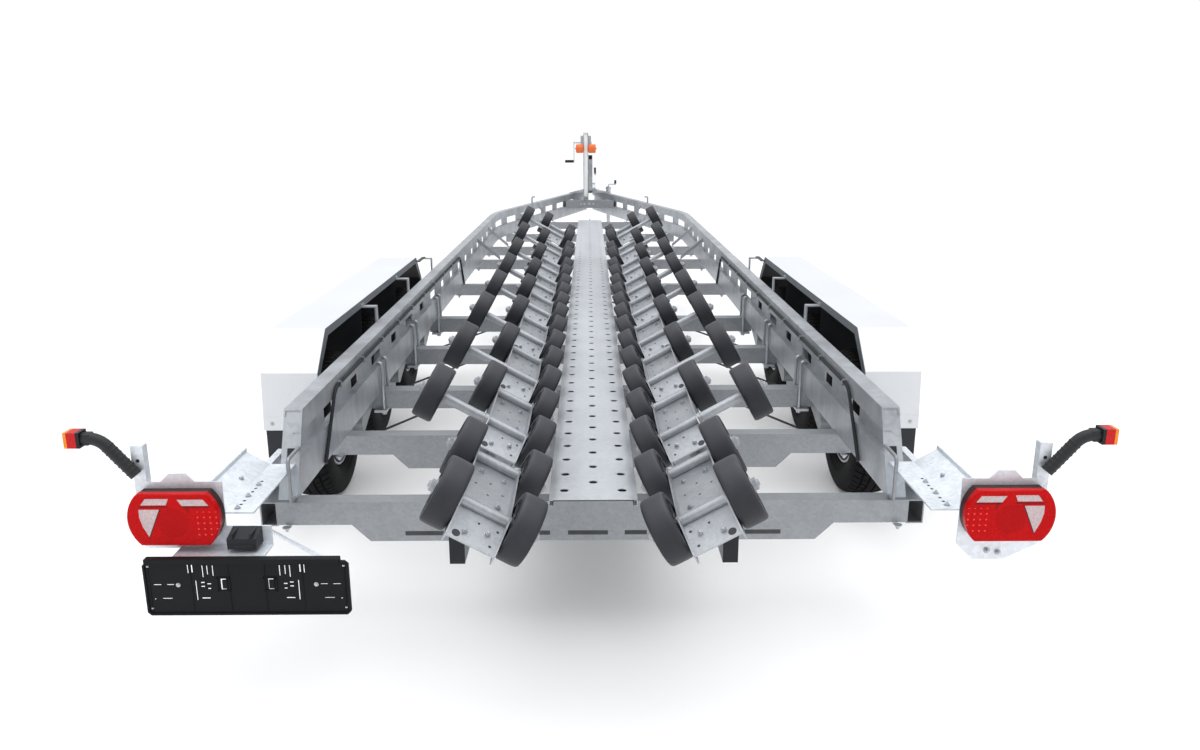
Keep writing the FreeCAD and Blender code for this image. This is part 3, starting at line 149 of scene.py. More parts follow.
def finish(name, look):
    """A material whose shader gets what look says."""
    material = bpy.data.materials.new(name)
    material.use_nodes = True
    shader = material.node_tree.nodes["Principled BSDF"]
    for socket, value in look(Shade(material.node_tree)).items():
        if isinstance(value, Shade):
            material.node_tree.links.new(value.socket, shader.inputs[socket])
        else:
            shader.inputs[socket].default_value = value
    return material


def paint(red, green, blue):
    return (red, green, blue, 1.0)


def grey(level):
    """The slightly blue grey of zinc."""
    return paint(level * 0.955, level, level * 1.055)


def zinc_look(tone, crystal, shine, cloud=0.4, streak=0.0):
    """Galvanised steel: crystals of slightly different grey, dull clouds and a nearly smooth skin."""
    def look(s):
        facet = s.crystals(crystal)
        dull = s.clouds(cloud, 4.0)
        fine = s.clouds(0.004)
        amount = facet * 0.22 + dull * 0.9 + fine * 0.12
        if streak:
            amount = amount + (s.clouds(0.10, 3.0, (1.0, 1.0, 0.22)) - 0.5) * streak
        colour = s.ramp(amount, [(0.3, grey(tone * 0.80)), (0.6, grey(tone)), (0.9, grey(tone * 1.22))])
        return {"Base Color": colour, "Metallic": 0.62 + facet * 0.1,
                "Roughness": shine + facet * 0.07 + dull * 0.1,
                "Normal": s.bump(facet * 0.3 + fine * 0.7, 0.00025, 0.5)}
    return look


def dress(material, *nodes):
    """Give CAD nodes their finish."""
    for node in nodes:
        for slot in frame["nodes"][node].material_slots:
            slot.material = material


galvanised = finish("galvanised_steel", zinc_look(tone=0.32, crystal=0.011, shine=0.36))
rail_zinc = zinc_look(tone=0.47, crystal=0.016, shine=0.32, cloud=0.3, streak=1.1)
dress(finish("galvanised_rails", rail_zinc), "side_rail_right", "side_rail_left")


# Crossmembers, braces and hooks
# Box sections and flat bars bolted under the rails, galvanised like them. Each crossmember behind
# the drawbar is held by bolts through the rail's lower flange. The two at the rear have a lip
# below them, and the belly of the first has slots.
CROSSMEMBERS = (600, 1240, 4615, 5860, 6720, 7760, 8980)
DRAWBAR_FROM = 7350
FLANGE_BOLT_X = 940
FLANGE_BOLT_SHIFT = 16
FLANGE_LOW = 335
LIP_SECTION = ((-711, 301), (-689, 280), (689, 280), (711, 301))
LIP_LENGTH = 59
SLOTS = ((-186, -134), (-79, 45), (97, 166), (426, 581), (-581, -426))
SLOT_LOW = 299
SLOT_HIGH = 313


def mirrored(points):
    """Half an outline, then its mirror image back to the start."""
    return list(points) + [(-first, second) for first, second in reversed(points)]


def turned(mesh, outline, start, axis, count=24, closed=False, turn=0.0):
    """Spin an outline of (along, radius) points round an axis through start."""
    pose = Vector(axis).normalized().to_track_quat("Z", "Y").to_matrix()
    rings = []
    for along, radius in outline:
        ring = []
        for step in range(count):
            angle = turn + math.tau * step / count
            spot = Vector((radius * math.cos(angle), radius * math.sin(angle), along))
            ring.append(mesh.verts.new(Vector(start) + pose @ spot))
        rings.append(ring)
    if closed:
        rings.append(rings[0])
    else:
        mesh.faces.new(rings[0])
        mesh.faces.new(rings[-1])
    join(mesh, rings)


def join(mesh, rings, around=True):
    """Faces between each ring of points and the next, or along open rows of them."""
    for first, second in zip(rings, rings[1:]):
        for step in range(len(first) if around else len(first) - 1):
            after = (step + 1) % len(first)
            mesh.faces.new((first[step], first[after], second[after], second[step]))


def rod(mesh, start, axis, radius, length, count=20):
    turned(mesh, [(0, radius), (length, radius)], start, axis, count)


def prism(mesh, points, push, place=Matrix()):
    """A flat outline pushed out into a solid."""
    push = Vector(push)
    low = [mesh.verts.new(place @ Vector(point)) for point in points]
    high = [mesh.verts.new(place @ (Vector(point) + push)) for point in points]
    mesh.faces.new(low)
    mesh.faces.new(high)
    for index in range(len(points)):
        after = (index + 1) % len(points)
        mesh.faces.new((low[index], low[after], high[after], high[index]))


def block(mesh, x0, x1, y0, y1, z0, z1, place=Matrix()):
    prism(mesh, [(x0, y0, z0), (x1, y0, z0), (x1, y1, z0), (x0, y1, z0)], (0, 0, z1 - z0), place)


def bolt(mesh, spot, axis, size, tail=0.0):
    """A hexagon head on a washer, or a nut with the bolt's end showing."""
    flat = size * 0.92
    rod(mesh, spot, axis, size * 1.3, size * 0.16)
    turned(mesh, [(size * 0.16, flat), (size * 0.68, flat), (size * 0.78, flat * 0.84)], spot, axis, 6,
           turn=random.uniform(0, 1))
    if tail:
        turned(mesh, [(size * 0.5, size * 0.5), (size * 0.78 + tail, size * 0.5),
                      (size * 0.82 + tail, size * 0.42)], spot, axis, 14)


def add(name, data):
    """Put an object with these data into the scene."""
    made = bpy.data.objects.new(name, data)
    bpy.context.scene.collection.objects.link(made)
    return made


def piece(name, mesh, material, body="frame", crease=35.0, edge=0.0):
    """Turn a mesh in millimetres into a piece that moves with a body."""
    bmesh.ops.recalc_face_normals(mesh, faces=mesh.faces)
    bmesh.ops.scale(mesh, vec=(0.001, 0.001, 0.001), verts=mesh.verts)
    data = bpy.data.meshes.new(name)
    mesh.to_mesh(data)
    mesh.free()
    data.shade_smooth()
    data.set_sharp_from_angle(angle=math.radians(crease))
    data.materials.append(material)
    made = add(name, data)
    if edge:
        edging = made.modifiers.new("edge", "BEVEL")
        edging.width = edge / 1000.0
        edging.segments = 2
        edging.limit_method = "ANGLE"
        edging.angle_limit = math.radians(40)
    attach(made, body)
    return made


def fixings(name, spots, axis, size, tail=0.0, body="frame"):
    """Like bolts or screws in one piece."""
    mesh = bmesh.new()
    for spot in spots:
        bolt(mesh, spot, axis, size, tail)
    piece(name, mesh, bright_zinc, body)


def slot_look(s):
    return {"Base Color": s.blend(s.clouds(0.03), paint(0.03, 0.032, 0.035), paint(0.07, 0.072, 0.075)),
            "Roughness": 0.7}


dress(galvanised, "crossmembers", "rail_fittings")
bright_look = zinc_look(tone=0.50, crystal=0.006, shine=0.26, cloud=0.05)
bright_zinc = finish("zinc_plated_bolts", bright_look)
fixings("crossmember_bolts", [(x, REAR + from_rear + shift, FLANGE_LOW)
                              for from_rear in CROSSMEMBERS if from_rear < DRAWBAR_FROM
                              for x in (-FLANGE_BOLT_X, FLANGE_BOLT_X)
                              for shift in (-FLANGE_BOLT_SHIFT, FLANGE_BOLT_SHIFT)],
        (0, 0, -1), size=10, tail=6)
mesh = bmesh.new()
for from_rear in CROSSMEMBERS[:2]:
    prism(mesh, [(x, REAR + from_rear + 0.5, z) for x, z in LIP_SECTION], (0, LIP_LENGTH, 0))
piece("crossmember_lips", mesh, galvanised)
mesh = bmesh.new()
belly = REAR + CROSSMEMBERS[0]
for x0, x1 in SLOTS:
    block(mesh, x0, x1, belly - 0.6, belly + 1, SLOT_LOW, SLOT_HIGH)
piece("crossmember_slots", mesh, finish("slot_shadow", slot_look))


# Walkway
# A long plate of bright galvanised sheet down the middle, folded down along both sides. Three
# staggered columns of round holes are punched through it, their edges turned down for strength.
WALK_TOP = 432
WALK_LOW = 410
WALK_HALF = 135
WALK_FLAT_HALF = 123
WALK_WALL = 2.5
WALK_REAR = REAR + 560
WALK_FRONT = REAR + 9030
HOLE_PITCH = 140
HOLE_RADIUS = 13
HOLE_COUNT = 60
END_MARGIN = 6
COLUMN_EDGE = 45
SIDE_COLUMN_X = 90
WALK_SCREW_X = 115


def punched_cell(mesh, x0, x1, y0, middle):
    """A rectangle of the plate round one hole, with the hole's turned-down edge."""
    corners = ((x0, y0), (x1, y0), (x1, y0 + HOLE_PITCH), (x0, y0 + HOLE_PITCH), (x0, y0))
    rings = [[]]
    for step in range(16):
        (ax, ay), (bx, by) = corners[step // 4], corners[step // 4 + 1]
        share = step % 4 / 4.0
        rings[0].append(mesh.verts.new((ax + (bx - ax) * share, ay + (by - ay) * share, WALK_TOP)))
    for wider, depth in ((6.0, 0.0), (4.5, 0.0), (1.2, 0.5), (0.0, 2.0), (-0.6, 10.0)):
        radius = HOLE_RADIUS + wider
        ring = []
        for step in range(16):
            turn = math.tau * step / 16.0 - math.pi * 0.75
            ring.append(mesh.verts.new((middle + radius * math.cos(turn),
                                        y0 + HOLE_PITCH / 2.0 + radius * math.sin(turn),
                                        WALK_TOP - depth)))
        rings.append(ring)
    join(mesh, rings)


def walkway():
    """One skin of the plate; its thickness is added below."""
    mesh = bmesh.new()
    stations = [WALK_REAR, WALK_REAR + 1.0]
    stations += [WALK_REAR + END_MARGIN + HOLE_PITCH * k / 4.0 for k in range(HOLE_COUNT * 4 + 1)]
    stations += [WALK_FRONT - 1.0, WALK_FRONT]
    stagger = END_MARGIN + HOLE_PITCH / 2.0
    for x0, x1, middle, margin, count in (
            (-WALK_FLAT_HALF, -COLUMN_EDGE, -SIDE_COLUMN_X, END_MARGIN, HOLE_COUNT),
            (-COLUMN_EDGE, COLUMN_EDGE, 0.0, stagger, HOLE_COUNT - 1),
            (COLUMN_EDGE, WALK_FLAT_HALF, SIDE_COLUMN_X, END_MARGIN, HOLE_COUNT)):
        front = WALK_REAR + margin + HOLE_PITCH * count
        for y0, y1 in ((WALK_REAR, WALK_REAR + margin), (front, WALK_FRONT)):
            rows = [[mesh.verts.new((x0 + (x1 - x0) * k / 4.0, y, WALK_TOP)) for y in stations
                     if y0 - 0.1 < y < y1 + 0.1] for k in range(5)]
            join(mesh, rows, around=False)
        for row in range(count):
            punched_cell(mesh, x0, x1, WALK_REAR + margin + HOLE_PITCH * row, middle)
    fold = ((WALK_FLAT_HALF, WALK_TOP), (125.0, WALK_TOP - 1.2), (132.0, WALK_TOP - 1.6),
            (134.2, WALK_TOP - 2.6), (WALK_HALF, WALK_TOP - 5.0), (WALK_HALF, WALK_LOW),
            (122.0, WALK_LOW))
    for side in (-1, 1):
        rows = [[mesh.verts.new((side * x, y, z)) for y in stations] for x, z in fold]
        join(mesh, rows, around=False)
    bmesh.ops.remove_doubles(mesh, verts=mesh.verts, dist=0.05)
    return mesh


def walkway_look(s):
    """Bright sheet, faintly streaked along its length, with painted shade down in the holes."""
    # Painted shade: below the plate's top, within its flat part, the hole collars are coloured near black
    # for the shade down in the holes.
    hole_shade_mask = ((s.height() < (WALK_TOP - 2.7) / 1000.0)
            * (abs(s.across()) < (WALK_FLAT_HALF + 1.0) / 1000.0))
    streaks = s.clouds(0.22, 4.0, (1.0, 0.12, 1.0))
    facet = s.crystals(1.0 / 70.0)
    colour = s.ramp(streaks * 0.85 + facet * 0.15,
                    [(0.2, grey(0.50)), (0.55, grey(0.62)), (0.9, grey(0.70))])
    return {"Base Color": s.blend(hole_shade_mask, colour, paint(0.05, 0.052, 0.055)), "Metallic": 0.45,
            "Roughness": 0.36 + streaks * 0.14 + facet * 0.05, "Normal": s.bump(streaks, 0.0006, 0.3)}


def thicken(made, wall):
    """Give a skin its thickness, on its inner side."""
    thick = made.modifiers.new("wall", "SOLIDIFY")
    thick.thickness = wall / 1000.0
    thick.offset = -1.0


bright_sheet = finish("bright_galvanised_sheet", walkway_look)
plate = piece("walkway_plate", walkway(), bright_sheet)
thicken(plate, WALK_WALL)
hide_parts("walkway")
fixings("walkway_screws", [(x, REAR + from_rear + 30, WALK_TOP - 4.0) for from_rear in CROSSMEMBERS
                           for x in (-WALK_SCREW_X, WALK_SCREW_X)], (0, 0, 1), size=5)


# Roller beams
# Two box-section beams along the crossmembers, each carrying nine cradle brackets, with moulded
# black caps in their open ends.
dress(galvanised, "roller_beams")


def plastic_look(tone, shine, dust=0.25):
    """Moulded plastic with a fine grain and a little dust."""
    def look(s):
        dusty = s.clouds(0.09, 3.0)
        dirty = [level + (0.32 - level) * dust * 0.2 for level in tone]
        return {"Base Color": s.blend(dusty, paint(*tone), paint(*dirty)),
                "Roughness": shine + dusty * 0.16, "Specular IOR Level": 0.16,
                "Normal": s.bump(s.clouds(0.0012), 0.0002, 0.6)}
    return look


black_plastic = finish("black_moulded_plastic", plastic_look((0.018, 0.019, 0.023), shine=0.42))
dress(black_plastic, "beam_caps")


# Roller cradles
# Eighteen rocking cradles. Each is a saddle-shaped galvanised channel on a pivot, with two axles
# that carry rubber rollers; all but the last pair reach out to a third row of rollers.
CRADLE_COUNT = 9
PIVOT_BELOW = 44
CHANNEL_HALF = 68
CHANNEL_WALL = 4
CHANNEL_SIDE = ((-273, -72), (-273, -46), (-187, 17), (187, 17), (273, -46), (273, -72))
CHANNEL_COVER = ((-273, -50), (-273, -54), (-186, -13), (186, -13), (273, -54), (273, -50), (186, -9),
                 (-186, -9))
COVER_TOP = -9
COVER_FALL = 41
COVER_RUN = 87
COVER_BOLTS = ((-30, 222, -26.5), (26, 244, -37))
COVER_HOLES = ((-52, 205, -18.4, 4.0), (-46, 252, -40.6, 4.0), (44, 258, -43.4, 11.0),
               (0, 206, -18.9, 3.5))
TOP_BOLTS = ((-34, 92), (34, 92), (-34, -92))
TOP_HOLES = ((0, 40), (0, -40), (-40, 0), (40, 0))
AXLE_AHEAD = 165
AXLE_RADIUS = 12
COLLAR_RADIUS = 17
COLLAR_WIDTH = 10
SLEEVE_RADIUS = 15.5
ROLLER_X = 104
OUTER_ROLLER_X = 256
ROLLER_HALF = 33
HUB_RIBS = 12
HUB_RIB_INNER = 28
HUB_RIB_OUTER = 70
ROLLER_SIDE = ((-33, 13), (-33, 28), (-24, 30), (-21, 35), (-21, 63), (-24, 68), (-31, 70), (-33, 72),
               (-33, 84), (-31.5, 88), (-28, 90.5), (-22, 91.6), (-10, 92))


def rubber_look(tone, shine, dust=0.3):
    """Solid rubber: dark, with a bloom of grey dust and a faint moulding grain."""
    def look(s):
        dusty = s.clouds(0.035, 4.0)
        fine = s.clouds(0.0016)
        scuffs = s.clouds(0.006, 3.0, (1.0, 4.0, 1.0))
        bloom = paint(tone[0] * 2.6 + 0.02, tone[1] * 2.6 + 0.02, tone[2] * 2.6 + 0.024)
        return {"Base Color": s.blend(dusty * dust + scuffs * dust * 0.5, paint(*tone), bloom),
                "Roughness": shine + dusty * 0.2, "Specular IOR Level": 0.38,
                "Normal": s.bump(fine * 0.6 + scuffs * 0.4, 0.0003, 0.6)}
    return look


def roller_look_with_painted_top_light(s):
    """Black rubber with a little dust, and a painted sheen on its upper side."""
    base = rubber_look((0.011, 0.012, 0.016), shine=0.40, dust=0.12)(s)
    # Painted top light: faces turned upwards are blended towards a lighter blue grey, a sheen painted for
    # the light from above; the real dust comes from rubber_look. This finish also covers the hole discs
    # and the mud flaps.
    up = s.node("SeparateXYZ", {}, {0: s.node("TexCoord", {}, {}, "Normal")}, 2)
    amount = up * 0.5 + s.clouds(0.05, 3.0) * 0.2 + 0.25
    dusty = s.ramp(amount, [(0.35, grey(0.0)), (0.95, grey(0.62))]).level()
    base["Base Color"] = s.blend(dusty, base["Base Color"], paint(0.075, 0.078, 0.090))
    return base


def cradle_place(joint, side):
    """From the cradle's own axes, in millimetres, to the trailer's: x out along the axles, z up."""
    along = Vector(joint["axis"]) * side
    ahead = Vector((0, 1, 0))
    up = along.cross(ahead) * side
    pivot = Vector(joint["pos_m"]) * 1000.0
    turn = Matrix((along, ahead, up)).transposed().to_4x4()
    return Matrix.Translation(pivot + up * PIVOT_BELOW) @ turn


def at(place, *spot):
    """A point in the cradle's own axes, in the trailer's."""
    return place @ Vector(spot)


def heading(place, *direction):
    return (place.to_3x3() @ Vector(direction)).normalized()


def cradle_steel(place, rear_reach):
    """The channel, its two axles with their sleeves, collars and nuts, and its bolts."""
    mesh = bmesh.new()
    for x in (-CHANNEL_HALF, CHANNEL_HALF - CHANNEL_WALL):
        prism(mesh, [(x, y, z) for y, z in CHANNEL_SIDE], (CHANNEL_WALL, 0, 0), place)
    prism(mesh, [(-CHANNEL_HALF + CHANNEL_WALL, y, z) for y, z in CHANNEL_COVER],
          ((CHANNEL_HALF - CHANNEL_WALL) * 2, 0, 0), place)
    direction = heading(place, 1, 0, 0)
    for y, outer in ((-AXLE_AHEAD, rear_reach), (AXLE_AHEAD, ROLLER_X)):
        first, last = -ROLLER_X - ROLLER_HALF, outer + ROLLER_HALF
        rod(mesh, at(place, first - 7, y, 0), direction, AXLE_RADIUS, last - first + 14)
        for x in (-CHANNEL_HALF - COLLAR_WIDTH, CHANNEL_HALF):
            rod(mesh, at(place, x, y, 0), direction, COLLAR_RADIUS, COLLAR_WIDTH)
        rod(mesh, at(place, -CHANNEL_HALF + CHANNEL_WALL, y, 0), direction, SLEEVE_RADIUS,
            (CHANNEL_HALF - CHANNEL_WALL) * 2)
        if outer > ROLLER_X:
            rod(mesh, at(place, CHANNEL_HALF + 12, y, 0), direction, SLEEVE_RADIUS,
                outer - ROLLER_HALF - CHANNEL_HALF - 16)
        for end, way in ((last, 1), (first, -1)):
            spot = at(place, end, y, 0)
            rod(mesh, spot, direction * way, 22, 3, 24)
            turned(mesh, [(3, 16.5), (12, 16.5), (14.5, 13.5)], spot, direction * way, 6)
            turned(mesh, [(14.5, 9), (18, 9), (19.5, 7.5)], spot, direction * way, 16)
    for end in (-1, 1):
        normal = heading(place, 0, end * COVER_FALL, COVER_RUN)
        for x, y, z in COVER_BOLTS:
            bolt(mesh, at(place, x, end * y, z), normal, size=8.5, tail=3)
    for x, y in TOP_BOLTS:
        bolt(mesh, at(place, x, y, COVER_TOP), heading(place, 0, 0, 1), size=8, tail=3)
    return mesh


def cradle_rollers(place, rear_reach):
    """Rollers with ribbed hubs, and thin rubber discs over the holes in the cradle's plates, painted shade
    for the holes' dark mouths.
    """
    mesh = bmesh.new()
    direction = heading(place, 1, 0, 0)
    outline = mirrored(ROLLER_SIDE)
    for y, outer in ((-AXLE_AHEAD, rear_reach), (AXLE_AHEAD, ROLLER_X)):
        for x in (-ROLLER_X, outer):
            turned(mesh, outline, at(place, x, y, 0), direction, 48, closed=True)
            for k in range(HUB_RIBS):
                spoke = (place @ Matrix.Translation((x, y, 0))
                         @ Matrix.Rotation(math.tau * k / HUB_RIBS, 4, "X"))
                for a, b in ((-31, -20.5), (20.5, 31)):
                    block(mesh, a, b, -2.5, 2.5, HUB_RIB_INNER, HUB_RIB_OUTER, spoke)
    # Painted shade: thin discs of the rollers' rubber over the holes in the cover and top plates stand in
    # for the shade inside the holes.
    for end in (-1, 1):
        normal = heading(place, 0, end * COVER_FALL, COVER_RUN)
        for x, y, z, radius in COVER_HOLES:
            rod(mesh, at(place, x, end * y, z), normal, radius, 0.5, 16)
    for x, y in TOP_HOLES:
        rod(mesh, at(place, x, y, COVER_TOP), heading(place, 0, 0, 1), 3.5, 0.5, 12)
    return mesh


cradle_zinc = finish("cradle_galvanised", zinc_look(tone=0.42, crystal=0.009, shine=0.34, cloud=0.16))
roller_rubber = finish("roller_rubber", roller_look_with_painted_top_light)
joints = {joint["name"]: joint for joint in frame["joints"]}
SIDES = ((1, "right"), (-1, "left"))
for side, word in SIDES:
    for number in range(1, CRADLE_COUNT + 1):
        node = f"cradle_{word}_{number}"
        place = cradle_place(joints[node + "_rock"], side)
        reach = ROLLER_X if number == 1 else OUTER_ROLLER_X
        mesh = cradle_steel(place, reach)
        steel = piece(f"channel_{word}_{number}", mesh, cradle_zinc, node)
        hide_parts(node)
        mesh = cradle_rollers(place, reach)
        piece(f"rollers_{word}_{number}", mesh, roller_rubber, node, 30.0)


# Axles
# Three square-tube axles with rubber suspension inside, trailing arms and brake backplates. Each is
# held to the rails by brighter zinc-plated clamp plates and U-bolts. The rest is galvanised.
dress(galvanised, "axles")
dress(bright_zinc, "axle_clamps")


# Wheels
# Six road wheels: a steel rim, galvanised, with a drum behind its dished disc, and a tyre with four
# grooves round it and slanted cuts between the blocks.
FIRST_AXLE = REAR + 1890
AXLE_PITCH = 780
TRAILING_ARM = 165
WHEEL_PLACES = [FIRST_AXLE + AXLE_PITCH * number - TRAILING_ARM for number in range(3)]
TYRE_MIDDLE = 1137.5
TYRE_RADIUS = 308
TREAD_PITCHES = 56
TREAD_DEPTH = 7
TREAD_INNER = 24
TREAD_OUTER = 80
TREAD_LOW = 294
GROOVE_FLOORS = (297.5, 300)
CUT_SLANT = 0.42
HALF_TYRE = ((-64, 181), (-72, 184), (-80, 196), (-86, 212), (-88.5, 214), (-90, 217), (-91.5, 232),
             (-92.4, 250), (-91.4, 266), (-88, 281), (-83, 290), (-76.5, 296.5), (-68, 300.4),
             (-58, 302.8), (-51.5, 304), (-50, 297.5), (-45, 297.5), (-43.5, 305), (-32, 306.2),
             (-21.5, 306.9), (-20, 300), (-15, 300), (-13.5, 307.3), (-4, 307.8))
BEADS = [(60, 178.6), (-60, 178.6)]
NUT_COUNT = 5
NUT_CIRCLE = 47
NUT_SEAT = 44


def tyre(y):
    """A tyre in short steps, so that slanted cuts can be sunk between its blocks."""
    mesh = bmesh.new()
    outline = mirrored(HALF_TYRE) + BEADS
    steps = []
    for pitch in range(TREAD_PITCHES):
        for share, cut in ((0.0, 0), (0.80, 0), (0.84, 1), (0.96, 1)):
            steps.append((math.tau * (pitch + share) / TREAD_PITCHES, cut))
    rings = []
    for along, radius in outline:
        ring = []
        blocks = (TREAD_INNER < abs(along) < TREAD_OUTER and radius > TREAD_LOW
                  and radius not in GROOVE_FLOORS)
        for angle, cut in steps:
            depth = TREAD_DEPTH * 0.8 if cut and blocks else 0.0
            slant = angle + along / TYRE_RADIUS * CUT_SLANT
            ring.append(mesh.verts.new((TYRE_MIDDLE + along, y + (radius - depth) * math.cos(slant),
                                        TYRE_RADIUS + (radius - depth) * math.sin(slant))))
        rings.append(ring)
    join(mesh, rings + rings[:1])
    return mesh


def tyre_look(s):
    dusty = s.clouds(0.06, 4.0)
    colour = s.blend(dusty * 0.4, paint(0.005, 0.005, 0.006), paint(0.016, 0.016, 0.016))
    return {"Base Color": colour, "Roughness": 0.6 + dusty * 0.2, "Specular IOR Level": 0.12,
            "Normal": s.bump(s.clouds(0.0022), 0.0004, 0.6)}


tyre_rubber = finish("tyre_rubber", tyre_look)
rim_zinc = finish("rim_galvanised", zinc_look(tone=0.45, crystal=0.008, shine=0.32, cloud=0.1))
for number, y in enumerate(WHEEL_PLACES, 1):
    for side, word in SIDES:
        body = f"wheel_{word}_{number}"
        mesh = tyre(y)
        bmesh.ops.scale(mesh, vec=(side, 1, 1), verts=mesh.verts)
        road_tyre = piece(f"road_tyre_{word}_{number}", mesh, tyre_rubber, body, 28.0)
        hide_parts(f"tyre_{word}_{number}")
        dress(rim_zinc, f"rim_{word}_{number}")
        angles = [math.tau * k / NUT_COUNT + 0.3 for k in range(NUT_COUNT)]
        nuts = [(side * (TYRE_MIDDLE + NUT_SEAT), y + NUT_CIRCLE * math.cos(angle),
                 TYRE_RADIUS + NUT_CIRCLE * math.sin(angle)) for angle in angles]
        fixings(f"wheel_nuts_{word}_{number}", nuts, (side, 0, 0), size=10, tail=5, body=body)


# Mudguards
# One long guard of near-white sheet over the three wheels each side, folded in flats, with a skirt
# outside and a lip inside, and black rubber sheets inside it round the wheels. Flat bars from the
# rail hold it, and a rubber flap hangs from a clamping strip across its rear end.
GUARD_REAR = REAR + 1335
GUARD_INNER = 1035
GUARD_OUTER = 1250
GUARD_MIDDLE = 1140
STRIP_LOW = 402
STRIP_RISE = 50
STRIP_LEAN = 18.0 / 220.0
STRIP_BOLT_Z = 427
STAY_BOLT_Z = 741
FLAP_LOW = 262
FLAP_TOP = 420
CROSS_FLAP_LOW = 400
CROSS_FLAP_TOP = 752
SPLASH_TOP = 690
ARCH_RADIUS = 300
ARCH_FOOT = 420
FRONT_STAY_REAR = REAR + 3498
FRONT_STAY_FRONT = REAR + 3695


def guard_look(side):
    """Near-white outside, with painted shade: grey along the inner lip, and dull and dark on the faces
    that turn inwards and underneath.
    """
    def look(s):
        middle = (side * GUARD_MIDDLE / 1000.0, WHEEL_PLACES[1] / 1000.0, 0.40)
        outwards = s.node("VectorMath", {"operation": "SUBTRACT"}, {0: s.place(), 1: middle})
        faces = s.node("VectorMath", {"operation": "DOT_PRODUCT"},
                       {0: s.node("TexCoord", {}, {}, "Normal"), 1: outwards}, 1)
        # Painted shade: the inner lip gets a darker grey, varied by the dust noise, for the shade it lies
        # in.
        lip_shade_mask = abs(s.across()) < (GUARD_INNER + 1.6) / 1000.0
        dusty = s.clouds(0.5, 4.0)
        fine = s.clouds(0.02, 3.0)
        white = s.blend(dusty * 0.7 + fine * 0.3, paint(0.66, 0.68, 0.70), paint(0.80, 0.81, 0.83))
        edging = s.blend(dusty, paint(0.10, 0.115, 0.13), paint(0.20, 0.22, 0.24))
        # Painted shade: faces turned in towards the guard's middle are coloured near black for the shade
        # under the guard.
        painted_under_shade = s.blend(dusty, paint(0.020, 0.021, 0.023), paint(0.045, 0.046, 0.048))
        return {"Base Color": s.blend(faces < 0.0, s.blend(lip_shade_mask, white, edging), painted_under_shade), "Metallic": 0.15,
                "Roughness": 0.36 + dusty * 0.14, "Normal": s.bump(fine, 0.0005, 0.25)}
    return look


def splash_outline(y0, y1, top):
    """Between the arches over two wheels, or on to the guard's end, under a top of (y, z)."""
    low = math.asin((ARCH_FOOT - TYRE_RADIUS) / ARCH_RADIUS)
    outline = []
    for centre, first, last in ((y0, math.pi / 2, low), (y1, math.pi - low, math.pi / 2)):
        if centre is not None:
            for k in range(9):
                angle = first + (last - first) * k / 8.0
                outline.append((centre + ARCH_RADIUS * math.cos(angle),
                                TYRE_RADIUS + ARCH_RADIUS * math.sin(angle)))
    return outline + list(top)


rear_end = [(WHEEL_PLACES[0], SPLASH_TOP), (GUARD_REAR + 115, SPLASH_TOP), (GUARD_REAR + 55, 640),
            (GUARD_REAR + 29, 610), (GUARD_REAR + 15, 430)]
front_end = [(2 * WHEEL_PLACES[1] - y, z) for y, z in reversed(rear_end)]
splash_shapes = [splash_outline(first, second, ((second, SPLASH_TOP), (first, SPLASH_TOP)))
                 for first, second in zip(WHEEL_PLACES, WHEEL_PLACES[1:])]
splash_shapes.append(splash_outline(None, WHEEL_PLACES[0], rear_end))
splash_shapes.append(splash_outline(WHEEL_PLACES[2], None, front_end))
between_wheels = [y + AXLE_PITCH / 2 for y in WHEEL_PLACES[:2]]
dress(bright_zinc, "mudguard_stays")
for side, word in SIDES:
    sheet = finish(f"mudguard_sheet_{word}", guard_look(side))
    dress(sheet, f"mudguard_{word}")
    mesh = bmesh.new()
    x0, x1 = side * (GUARD_INNER + 6), side * (GUARD_OUTER - 6)
    y0, y1 = GUARD_REAR - 2.5, GUARD_REAR + 0.5
    low = [(x, y, STRIP_LOW) for x, y in ((x0, y0), (x1, y0), (x1, y1), (x0, y1))]
    prism(mesh, low, (0, STRIP_RISE * STRIP_LEAN, STRIP_RISE))
    piece(f"guard_strip_{word}", mesh, sheet, edge=0.8)
    mesh = bmesh.new()
    for x in (GUARD_INNER + 34, 1142, GUARD_OUTER - 34):
        bolt(mesh, (side * x, GUARD_REAR - 1.0, STRIP_BOLT_Z), (0, -1, 0.08), size=6, tail=2)
    for y in between_wheels:
        for shift in (-12, 12):
            spot = (side * (GUARD_INNER - 0.5), y + shift, STAY_BOLT_Z)
            bolt(mesh, spot, (-side, 0, 0), size=5, tail=2)
    piece(f"guard_bolts_{word}", mesh, bright_zinc)
    mesh = bmesh.new()
    inner = side * (GUARD_INNER + 8)
    block(mesh, inner, side * (GUARD_OUTER - 8), GUARD_REAR + 1, GUARD_REAR + 5, FLAP_LOW, FLAP_TOP)
    for y in between_wheels:
        block(mesh, inner, side * (GUARD_OUTER - 7), y - 1.5, y + 1.5, CROSS_FLAP_LOW, CROSS_FLAP_TOP)
    for outline in splash_shapes:
        prism(mesh, [(side * (GUARD_OUTER - 5.5), y, z) for y, z in outline], (side * 2, 0, 0))
    block(mesh, side * (GUARD_INNER - 1), side * (GUARD_INNER - 24), FRONT_STAY_REAR, FRONT_STAY_FRONT,
          734, 739)
    piece(f"mud_flap_{word}", mesh, roller_rubber, edge=1.2)


